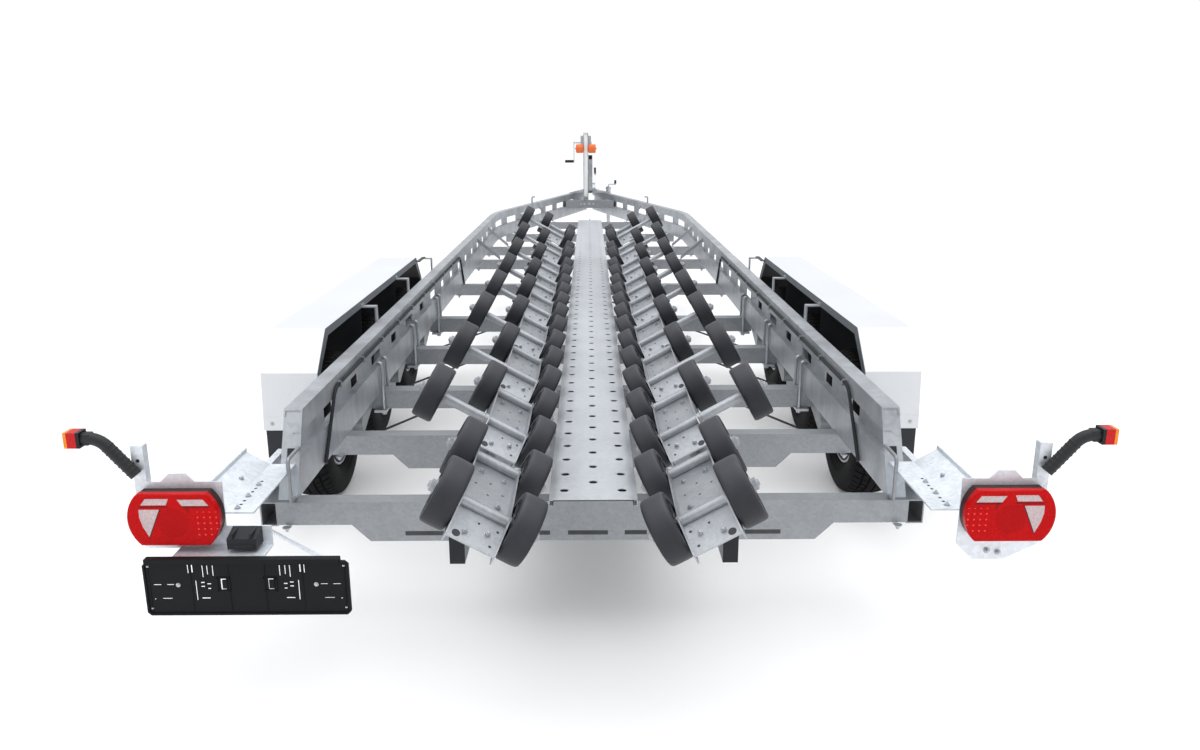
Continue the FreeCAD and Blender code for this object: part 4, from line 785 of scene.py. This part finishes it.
# Lighting boards
# Galvanised brackets on the rails' rear ends hold the lamp boards, the posts of the marker arms and,
# on the left, the number plate's carrier. Tubes beside the rails take a removable board.
LAMP_BACK = REAR + 205
BRACKET_X = 978
BRACKET_TOP = 510
BRACKET_BOLTS = (318, 405, 492)
BRACKET_HOLES = (345, 372, 438, 465, 520)
SLOPE_BOLTS = ((1030, 500), (1046, 330))
SLOPE_FROM = 1002
SLOPE_RISE = 0.59
ARM_POST_X = 1177
ARM_POST_HOLES = (600, 690)
BOARD_BOLTS = ((1050, 428), (1080, 422), (-1096, 458), (-1130, 462))
dress(finish("bracket_galvanised", zinc_look(tone=0.78, crystal=0.010, shine=0.42, cloud=0.2)),
      "light_brackets")
dress(galvanised, "board_sockets")
mesh = bmesh.new()
# Painted shade: thin black discs over the holes in the brackets and arm posts stand in for the shade
# inside the holes.
holes = bmesh.new()
for side in (-1, 1):
    for y in BRACKET_BOLTS:
        bolt(mesh, (side * BRACKET_X, REAR + y, BRACKET_TOP), (0, 0, 1), size=7, tail=4)
    for y in BRACKET_HOLES:
        rod(holes, (side * BRACKET_X, REAR + y, BRACKET_TOP), (0, 0, 1), 4.5, 0.5, 14)
    for x, y in SLOPE_BOLTS:
        spot = (side * x, REAR + y, BRACKET_TOP + 1 + (x - SLOPE_FROM) * SLOPE_RISE)
        bolt(mesh, spot, (-side * 0.5, 0, 0.86), size=6, tail=3)
    for z in ARM_POST_HOLES:
        rod(holes, (side * ARM_POST_X, LAMP_BACK, z), (0, -1, 0), 5, 0.5, 14)
for x, z in BOARD_BOLTS:
    bolt(mesh, (x, LAMP_BACK, z), (0, -1, 0), size=7, tail=4)
piece("bracket_bolts", mesh, bright_zinc)
piece("bracket_hole_shade", holes, black_plastic)


# Rear lamps
# Wide lamps in a dark housing with a red lens. Clear windows for the indicator and reversing lamp
# are let into it, mirrored from side to side, and the round middle has a ring pattern.
LAMP_X = 1082
LAMP_Z = 546
LAMP_HALF = 118
LAMP_RISE = 71
LAMP_ARC = 99
LAMP_DEPTH = 52
LAMP_WINDOWS = (((-95, 40), (-82, 57), (-16, 57), (-27, 40)), ((13, 42), (6, 59), (65, 59), (78, 42)),
                ((32, 30), (65, -46), (79, -16), (85, 10), (84, 30)))
LAMP_SEAMS = (((-97, 35), (-97, 37), (-27, 37), (-27, 35)), ((8, 36), (8, 38), (84, 38), (84, 36)),
              ((28, 33), (30, 33), (66, -49), (64, -49)), ((-27, 62), (-25, 62), (-42, 20), (-44, 20)))


def lens_look(tone, cell):
    """Glossy moulded lens: small prisms inside, finer rings round the middle and a row of pips."""
    def look(s):
        prisms = s.cells(cell)
        soft = s.clouds(0.05)
        across = abs(s.across()) - LAMP_X / 1000.0
        height = s.height() - (LAMP_Z - 8.0) / 1000.0
        reach = s.maths("SQRT", across * across + height * height)
        rings = s.maths("PINGPONG", reach, 0.003) * 333.0
        middle = reach < 0.040
        pips = ((s.maths("PINGPONG", across, 0.008) < 0.0022)
                * (s.maths("PINGPONG", height, 0.008) < 0.0022)
                * (across < -0.052) * (height < 0.032) * (height > -0.040))
        dark = paint(*[level * 0.62 for level in tone])
        light = paint(*[min(1.0, level * 1.10) for level in tone])
        pale = paint(*[min(1.0, level * 1.5 + 0.05) for level in tone])
        base = s.blend(prisms * 0.7 + soft * 0.3, dark, light)
        ringed = s.blend(middle * (0.25 + rings * 0.5), base, dark)
        return {"Base Color": s.blend(pips, ringed, pale), "Roughness": 0.2 + soft * 0.08,
                "Specular IOR Level": 0.08, "Coat Weight": 0.04,
                "Normal": s.bump(prisms + middle * rings, 0.0008, 0.4)}
    return look


def lamp_outline(shrink):
    """Flat top and bottom with round ends, seen from behind."""
    rise = LAMP_RISE - shrink
    ends = []
    for k in range(15):
        z = rise * (k / 7.0 - 1.0)
        ends.append((LAMP_HALF - shrink - (LAMP_ARC - math.sqrt(LAMP_ARC ** 2 - z ** 2)), z))
    return mirrored(ends)


def lamp_piece(name, side, outlines, y0, y1, material, edge=0.0):
    """Flat parts of one kind in a lamp, from y0 to y1 ahead of its rear face."""
    mesh = bmesh.new()
    face = LAMP_BACK - LAMP_DEPTH
    for outline in outlines:
        prism(mesh, [(side * (LAMP_X + x), face + y0, LAMP_Z + z) for x, z in outline], (0, y1 - y0, 0))
    return piece(name, mesh, material, "frame", 30.0, edge)


red_lens = finish("red_lens", lens_look((0.56, 0.002, 0.003), cell=0.006))
clear_lens = finish("clear_lens", lens_look((0.62, 0.50, 0.51), cell=0.005))
lamp_plastic = finish("lamp_housing_plastic", plastic_look((0.030, 0.006, 0.007), shine=0.35))
for side, word in SIDES:
    housing = lamp_piece(f"lamp_housing_{word}", side, [lamp_outline(2.0)], 24, LAMP_DEPTH,
                         lamp_plastic, 2.0)
    lamp_piece(f"lamp_lens_{word}", side, [lamp_outline(0.0)], 1.5, 26, red_lens, 3.5)
    lamp_piece(f"lamp_windows_{word}", side, LAMP_WINDOWS, 0.3, 4, clear_lens, 0.8)
    lamp_piece(f"lamp_seams_{word}", side, LAMP_SEAMS, 0.8, 4, lamp_plastic)
    if side > 0:
        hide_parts("lamps")


# Marker lamps
# Small lamps on the ends of ribbed rubber arms, red to the rear with an amber end, each in a black
# collar.
ARM_MIDDLE = LAMP_BACK - 16
ARM_LOW = 657
ARM_OUT = 0.64
ARM_UP = 0.77
ARM_RIBS = 7
ARM_RIB_PITCH = 14
COLLAR_X = 1278
COLLAR_Z = 757
LENS_FROM = 1309
AMBER_FROM = 1332


def marker_look(s):
    out = abs(s.across())
    prisms = s.cells(1.0 / 220.0)
    red = s.blend(prisms, paint(0.42, 0.003, 0.004), paint(0.64, 0.006, 0.008))
    amber = s.blend(prisms, paint(0.70, 0.20, 0.015), paint(0.92, 0.32, 0.03))
    lens = s.blend(out > AMBER_FROM / 1000.0, red, amber)
    return {"Base Color": s.blend(out < LENS_FROM / 1000.0, lens, paint(0.010, 0.010, 0.012)),
            "Roughness": 0.18 + prisms * 0.1, "Specular IOR Level": 0.2, "Coat Weight": 0.1,
            "Normal": s.bump(prisms, 0.0006, 0.4)}


black_rubber = finish("black_rubber", rubber_look((0.010, 0.0105, 0.012), shine=0.42, dust=0.15))
dress(black_rubber, "marker_arms")
dress(finish("marker_lens", marker_look), "marker_lamps")
mesh = bmesh.new()
for side in (-1, 1):
    turned(mesh, [(0, 18), (3, 20.5), (20, 20.5), (22, 19)], (side * COLLAR_X, ARM_MIDDLE, COLLAR_Z),
           (side, 0, 0), 4, turn=math.pi / 4)
    for k in range(ARM_RIBS):
        reach = 12 + k * ARM_RIB_PITCH
        spot = (side * (ARM_POST_X + reach * ARM_OUT), ARM_MIDDLE, ARM_LOW + reach * ARM_UP)
        turned(mesh, [(0, 16), (1.5, 17.3), (4, 17.3), (5.5, 16)], spot, (side * ARM_OUT, 0, ARM_UP))
piece("marker_collars", mesh, black_rubber)


# Number plate holder
# A flat black moulded holder with a raised rim, slots for the plate's clips and dividing ribs, left
# bare, hung under the left lamp. The small lamp beside it lights the plate.
HOLDER_X = -892.5
HOLDER_Z = 375
HOLDER_BACK = REAR + 120
BACK_HALF = 259
BACK_RISE = 72
RIM_DEPTH = 10
RIM_OUTER = ((253, -75), (262.5, -66), (262.5, 66), (253, 75))
RIM_INNER = ((250, -69.5), (257, -63), (257, 66), (250, 69.5))
DIVIDERS = (-250, -143, -46, 46, 143, 250)
WINDOW_X = 60
HOLDER_SLOTS = ((-240, -220, 9, 12), (-206, -188, 9, 12), (-150, -147, 42, 66), (-140, -136, 44, 66),
                (-133, -130, -34, 22), (-119, -109, 14, 18), (-103, -93, 10, 14), (-119, -109, 3, 7),
                (-102, -94, -3, 1), (-120, -98, -30, -26), (-113, -110, 30, 64), (-101, -98, 38, 64),
                (-87, -84, 34, 64), (-222, -196, -30, -27), (-242, -238, -32, -28), (-68, -54, -4, 30))
HOLDER_SCREWS = ((-177, 10, 4.5), (177, 10, 4.5), (-250, 62, 2.6), (250, 62, 2.6), (-250, -56, 2.2),
                 (250, -56, 2.2))
PLATE_LAMP_X = -912


def pierced_plate(mesh, x_range, z_range, y_range, holes):
    """A plate with rectangular holes, between the two values of y_range."""
    xs = sorted(set(x_range) | {x for hole in holes for x in hole[:2]})
    zs = sorted(set(z_range) | {z for hole in holes for z in hole[2:]})

    def solid(i, k):
        if not (0 <= i < len(xs) - 1 and 0 <= k < len(zs) - 1):
            return False
        x = (xs[i] + xs[i + 1]) / 2.0
        z = (zs[k] + zs[k + 1]) / 2.0
        return not any(hole[0] < x < hole[1] and hole[2] < z < hole[3] for hole in holes)

    def face(*spots):
        mesh.faces.new([mesh.verts.new(spot) for spot in spots])

    y0, y1 = y_range
    for i in range(len(xs) - 1):
        for k in range(len(zs) - 1):
            if not solid(i, k):
                continue
            a, b, c, d = xs[i], xs[i + 1], zs[k], zs[k + 1]
            for y in (y0, y1):
                face((a, y, c), (b, y, c), (b, y, d), (a, y, d))
            for ahead, x in ((i - 1, a), (i + 1, b)):
                if not solid(ahead, k):
                    face((x, y0, c), (x, y1, c), (x, y1, d), (x, y0, d))
            for ahead, z in ((k - 1, c), (k + 1, d)):
                if not solid(i, ahead):
                    face((a, y0, z), (b, y0, z), (b, y1, z), (a, y1, z))
    bmesh.ops.remove_doubles(mesh, verts=mesh.verts, dist=0.01)


def holder_block(mesh, x0, x1, y0, y1, z0, z1):
    """A block placed from the middle of the holder's back."""
    block(mesh, HOLDER_X + x0, HOLDER_X + x1, HOLDER_BACK + y0, HOLDER_BACK + y1,
          HOLDER_Z + z0, HOLDER_Z + z1)


mesh = bmesh.new()
slots = [(HOLDER_X + a, HOLDER_X + b, HOLDER_Z + z0, HOLDER_Z + z1)
         for x0, x1, z0, z1 in HOLDER_SLOTS for a, b in ((x0, x1), (-x1, -x0))]
pierced_plate(mesh, (HOLDER_X - BACK_HALF, HOLDER_X + BACK_HALF),
              (HOLDER_Z - BACK_RISE, HOLDER_Z + BACK_RISE), (HOLDER_BACK - 6.5, HOLDER_BACK - 3.5), slots)
outer, inner = mirrored(RIM_OUTER), mirrored(RIM_INNER)
for k in range(len(outer)):
    after = (k + 1) % len(outer)
    corner = (outer[k], outer[after], inner[after], inner[k])
    prism(mesh, [(HOLDER_X + x, HOLDER_BACK - RIM_DEPTH, HOLDER_Z + z) for x, z in corner],
          (0, RIM_DEPTH, 0))
for x in DIVIDERS:
    holder_block(mesh, x - 1.2, x + 1.2, -8, -5, -68, 68)
for x in (-WINDOW_X, WINDOW_X):
    for a, b, low, high in ((-17, 17, 28, 31), (-17, 17, -8, -5), (-17, -14, -8, 31), (14, 17, -8, 31)):
        holder_block(mesh, x + a, x + b, -9, -5, low, high)
    holder_block(mesh, x - 3, x + 10, -9, -5, 0, 24)
holder_block(mesh, -240, 236, -3, 6, 68, 74.5)
holder_block(mesh, -256, 240, -13, 8, 70, 83)
holder_plastic = finish("plate_holder_plastic", plastic_look((0.006, 0.0065, 0.008), shine=0.5, dust=0.06))
holder = piece("plate_holder_moulding", mesh, holder_plastic, crease=30.0)
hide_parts("plate_holder")
mesh = bmesh.new()
for x, z, size in HOLDER_SCREWS:
    bolt(mesh, (HOLDER_X + x, HOLDER_BACK - 6.5, HOLDER_Z + z), (0, -1, 0), size)
piece("plate_holder_screws", mesh, bright_zinc)
dress(black_plastic, "plate_lamp")
mesh = bmesh.new()
for x in (PLATE_LAMP_X - 24, PLATE_LAMP_X + 24):
    block(mesh, x - 3, x + 3, LAMP_BACK - 54, LAMP_BACK - 2, 494, 507.5)
block(mesh, PLATE_LAMP_X - 32, PLATE_LAMP_X + 32, LAMP_BACK - 55, LAMP_BACK - 20, 465.5, 476)
piece("plate_lamp_ribs", mesh, black_plastic, edge=2.0)


# Winch post
# An upright box section on a crossbar between the drawbar rails, with a sloping brace beside it. Two
# orange rollers on a pin take the bow. The hand winch is bolted to the post's front, and its pale
# webbing strap hangs down the post's rear side to a hook on a ring at the foot.
POST_X = -46
POST_Y = REAR + 9800
STRAP_HALF = 24
STRAP_WALL = 2.5
STRAP_SWAY = 2
STRAP_LINE = ((-33, 1404), (-36, 1396), (-37, 1330), (-38, 1222), (-41, 1100), (-44, 950), (-45, 800),
              (-44, 700), (-42, 648))
GUIDE_Z = 1396
BRACE_SIDE = ((-29, 1086), (331, 666), (336, 668), (-29, 1094))
BRACE_WIDTH = 48
DRUM_Y = POST_Y + 114
DRUM_Z = 1290
ROLL_RADIUS = 50
ROLL_LENGTH = 88
GRIP_X = POST_X - 257
GRIP_Z = 1066
GEAR_TEETH = 14
HOOK_Y = POST_Y - 42
HOOK_Z = 626
HOOK_STEPS = 16
FOOT_BOLTS = (-20, 40, -60, 90)
FOOT_BOLT_Z = 560


def orange_look(s):
    dusty = s.clouds(0.03, 3.0)
    return {"Base Color": s.blend(dusty, paint(0.70, 0.11, 0.015), paint(0.78, 0.18, 0.03)),
            "Roughness": 0.38 + dusty * 0.15, "Normal": s.bump(s.clouds(0.002), 0.0003, 0.4)}


def webbing_look(s):
    weave = s.node("TexWave", {"bands_direction": "Z"},
                   {"Vector": s.place(), "Scale": 420.0, "Distortion": 0.6}).level()
    dusty = s.clouds(0.05, 3.0)
    return {"Base Color": s.blend(dusty, paint(0.74, 0.74, 0.73), paint(0.88, 0.88, 0.87)),
            "Roughness": 0.75 + dusty * 0.1, "Normal": s.bump(weave, 0.0004, 0.5)}


dress(galvanised, "winch_post")
dress(bright_zinc, "winch_frame", "winch_drum")
dress(finish("orange_roller", orange_look), "bow_roller")
webbing = finish("strap_webbing", webbing_look)
mesh = bmesh.new()
rows = []
for y, z in STRAP_LINE:
    middle = POST_X + STRAP_SWAY * math.sin(z / 130.0)
    rows.append([mesh.verts.new((middle + x, POST_Y + y, z)) for x in (-STRAP_HALF, STRAP_HALF)])
join(mesh, rows, around=False)
thicken(piece("winch_strap", mesh, webbing, crease=60.0), STRAP_WALL)
mesh = bmesh.new()
prism(mesh, [(POST_X + 31, POST_Y + y, z) for y, z in BRACE_SIDE], (BRACE_WIDTH, 0, 0))
piece("brace_cover", mesh, bright_zinc)
mesh = bmesh.new()
rod(mesh, (POST_X - ROLL_LENGTH / 2, DRUM_Y, DRUM_Z), (1, 0, 0), ROLL_RADIUS, ROLL_LENGTH, 40)
piece("winch_strap_roll", mesh, webbing, "winch_drum")
mesh = bmesh.new()
rod(mesh, (POST_X - 30, POST_Y - 41, GUIDE_Z), (1, 0, 0), 4.5, 60, 14)
for x in (POST_X - 30, POST_X + 26):
    block(mesh, x, x + 4, POST_Y - 48, POST_Y - 28, GUIDE_Z - 10, GUIDE_Z + 10)
block(mesh, POST_X - 22, POST_X + 22, POST_Y - 48, POST_Y - 36, 640, 652)
turns = [math.tau * k / HOOK_STEPS for k in range(HOOK_STEPS + 1)]
ring = [Vector((POST_X + 16 * math.sin(turn), HOOK_Y, HOOK_Z + 18 * math.cos(turn))) for turn in turns]
for start, end in zip(ring, ring[1:]):
    rod(mesh, start, end - start, 4.0, (end - start).length, 10)
for x in FOOT_BOLTS:
    bolt(mesh, (POST_X + x, POST_Y - 60, FOOT_BOLT_Z), (0, -1, 0), size=9, tail=4)
piece("strap_hook", mesh, bright_zinc, crease=40.0)
mesh = bmesh.new()
turned(mesh, [(0, 13), (3, 16.5), (104, 16.5), (107, 13)], (GRIP_X, DRUM_Y, GRIP_Z), (1, 0, 0), 24)
piece("crank_grip", mesh, black_plastic, "winch_drum")
mesh = bmesh.new()
for k in range(GEAR_TEETH):
    turn = Matrix.Rotation(math.tau * k / GEAR_TEETH, 4, "X")
    block(mesh, -3, 3, -5, 5, 54, 64, Matrix.Translation((POST_X + 50, DRUM_Y, DRUM_Z)) @ turn)
piece("winch_gear", mesh, bright_zinc, "winch_drum")


# Coupling
# The overrun coupling: a housing on a plate over the rails' tips, a sliding shaft in a folded rubber
# sleeve and the ball head with its lifting grip. The handbrake lever beside it has a plastic grip.
COUPLING_BOLTS = (4850, 5060)
COUPLING_BOLT_X = 82.8
HOUSING_TOP = 675
SLEEVE_REAR = 5189.5
SLEEVE_FRONT = 5318.5
LEVER_GRIP_FRONT = 5160
LEVER_GRIP_LOW = 800
LEVER_GRIP_FROM = 5926
HEAD_GRIP_REAR = 5330
HEAD_GRIP_LOW = 778


def partly_black(s, metal, black, duller):
    """A metal look with black plastic or rubber where black is 1."""
    dark = s.blend(s.clouds(0.02, 3.0), paint(0.010, 0.010, 0.012), paint(0.022, 0.022, 0.025))
    return {"Base Color": s.blend(black, metal["Base Color"], dark),
            "Metallic": metal["Metallic"] * (1.0 - black),
            "Roughness": metal["Roughness"] + black * duller, "Normal": metal["Normal"]}


def coupling_look(s):
    ahead = s.ahead()
    height = s.height()
    sleeve = (ahead > SLEEVE_REAR / 1000.0) * (ahead < SLEEVE_FRONT / 1000.0)
    lever = ((ahead + height > LEVER_GRIP_FROM / 1000.0) * (ahead < LEVER_GRIP_FRONT / 1000.0)
             * (height > LEVER_GRIP_LOW / 1000.0))
    handle = (height > HEAD_GRIP_LOW / 1000.0) * (ahead > HEAD_GRIP_REAR / 1000.0)
    black = s.maths("MAXIMUM", s.maths("MAXIMUM", sleeve, lever), handle)
    metal = zinc_look(tone=0.42, crystal=0.006, shine=0.3, cloud=0.08)(s)
    return partly_black(s, metal, black, duller=0.12)


dress(finish("coupling_finish", coupling_look), "coupling")
fixings("coupling_bolts", [(x, y, HOUSING_TOP) for x in (-COUPLING_BOLT_X, COUPLING_BOLT_X)
                           for y in COUPLING_BOLTS], (0, 0, 1), size=9, tail=5)


# Jockey wheel
# A telescopic leg clamped to the right drawbar rail, with a winding handle whose grip is black, and a
# castor wheel with a solid rubber tyre.
CRANK_GRIP_LOW = 766


def jockey_look(s):
    return partly_black(s, bright_look(s), s.height() > CRANK_GRIP_LOW / 1000.0, duller=0.15)


dress(bright_zinc, "jockey_sleeve", "jockey_fork")
dress(finish("jockey_stem_finish", jockey_look), "jockey_stem")
dress(black_rubber, "jockey_wheel")


# Brake cables and wiring
# Black-sheathed steel cables run from the brakes to the galvanised centre rod. The lamps' black lead
# runs inside the rails under their top edge, in small bright clips.
SHEATH_FROM = 62
CLIP_COUNT = 10
CLIP_PITCH = 360
CLIP_HALF = 5
FIRST_CLIP = REAR + 1165
CLIP_BACK = 896.5
CLIP_REACH = 912
CLIP_LOW = 620.5
CLIP_TOP = 641.5
CLIP_WALL = 3
CLIP_WEB = 2


def cable_look(s):
    sheath = abs(s.across()) > SHEATH_FROM / 1000.0
    dusty = s.clouds(0.05, 3.0)
    black = s.blend(dusty, paint(0.014, 0.014, 0.016), paint(0.04, 0.04, 0.042))
    return {"Base Color": s.blend(sheath, s.blend(dusty, grey(0.30), grey(0.42)), black),
            "Metallic": 0.7 - sheath * 0.7, "Roughness": 0.4 + dusty * 0.15}


dress(finish("cable_finish", cable_look), "brake_cables")
dress(black_plastic, "wiring")
mesh = bmesh.new()
for side in (-1, 1):
    for k in range(CLIP_COUNT):
        y = FIRST_CLIP + k * CLIP_PITCH
        for reach, low, high in ((CLIP_REACH, CLIP_TOP - CLIP_WALL, CLIP_TOP),
                                 (CLIP_REACH, CLIP_LOW, CLIP_LOW + CLIP_WALL),
                                 (CLIP_BACK + CLIP_WEB, CLIP_LOW, CLIP_TOP)):
            x0, x1 = sorted((side * CLIP_BACK, side * reach))
            block(mesh, x0, x1, y - CLIP_HALF, y + CLIP_HALF, low, high)
piece("lead_clips", mesh, bright_zinc)


# Studio
# A plain pale floor under soft light from above, and the camera where the photograph was taken:
# behind the trailer, a little to the left of its middle, at a person's eye height.
CAMERA_SPOT = (-0.011, -7.63, 1.535)
CAMERA_TILT = 75.09
CAMERA_TURN = -0.663
CAMERA_LENS = 28.5
LIT_SPOT = (0.0, -1.5, 0.4)
WHITE = paint(1.0, 1.0, 1.0)


def floor_look(s):
    pale = s.blend(s.clouds(2.0), paint(0.88, 0.88, 0.88), paint(0.90, 0.90, 0.90))
    return {"Base Color": pale, "Roughness": 0.9, "Emission Color": WHITE, "Emission Strength": 0.08}


def area_light(name, spot, size, energy):
    """A soft rectangular light turned to the trailer's middle."""
    lamp = bpy.data.lights.new(name, "AREA")
    lamp.shape = "RECTANGLE"
    lamp.size, lamp.size_y = size
    lamp.energy = energy
    light = add(name, lamp)
    light.location = spot
    light.rotation_euler = (Vector(LIT_SPOT) - Vector(spot)).to_track_quat("-Z", "Y").to_euler()


data = bpy.data.meshes.new("floor")
data.from_pydata([(-900, -300, 0), (900, -300, 0), (900, 1500, 0), (-900, 1500, 0)], [], [(0, 1, 2, 3)])
data.materials.append(finish("pale_floor", floor_look))
add("floor", data)

world = bpy.data.worlds.new("studio")
bpy.context.scene.world = world
world.use_nodes = True
sky = Shade(world.node_tree)
rise = sky.node("SeparateXYZ", {}, {0: sky.node("TexCoord", {}, {}, "Generated")}, 2)
glow = sky.ramp(rise, [(0.0, WHITE), (0.13, WHITE), (0.3, paint(0.42, 0.43, 0.45)),
                       (0.6, paint(0.46, 0.47, 0.49)), (0.85, paint(0.92, 0.93, 0.95)), (1.0, WHITE)])
dim = paint(0.5, 0.5, 0.5)
power = sky.ramp(rise, [(0.0, dim), (0.6, dim), (0.85, paint(0.95, 0.95, 0.95))]).level() * 2.04
backdrop = world.node_tree.nodes["Background"]
world.node_tree.links.new(glow.socket, backdrop.inputs["Color"])
world.node_tree.links.new(power.socket, backdrop.inputs["Strength"])
area_light("top_light", (0.0, -1.0, 7.0), (9.0, 14.0), energy=240.0)
area_light("rear_left_light", (-5.0, -10.0, 4.5), (5.0, 4.0), energy=60.0)
area_light("rear_right_light", (5.5, -9.0, 4.0), (4.0, 4.0), energy=40.0)

bpy.context.scene.view_settings.view_transform = "Standard"
optics = bpy.data.cameras.new("camera")
optics.sensor_width = 36.0
optics.lens = CAMERA_LENS
camera = add("camera", optics)
camera.location = CAMERA_SPOT
camera.rotation_euler = (math.radians(CAMERA_TILT), 0.0, math.radians(CAMERA_TURN))
bpy.context.scene.camera = camera
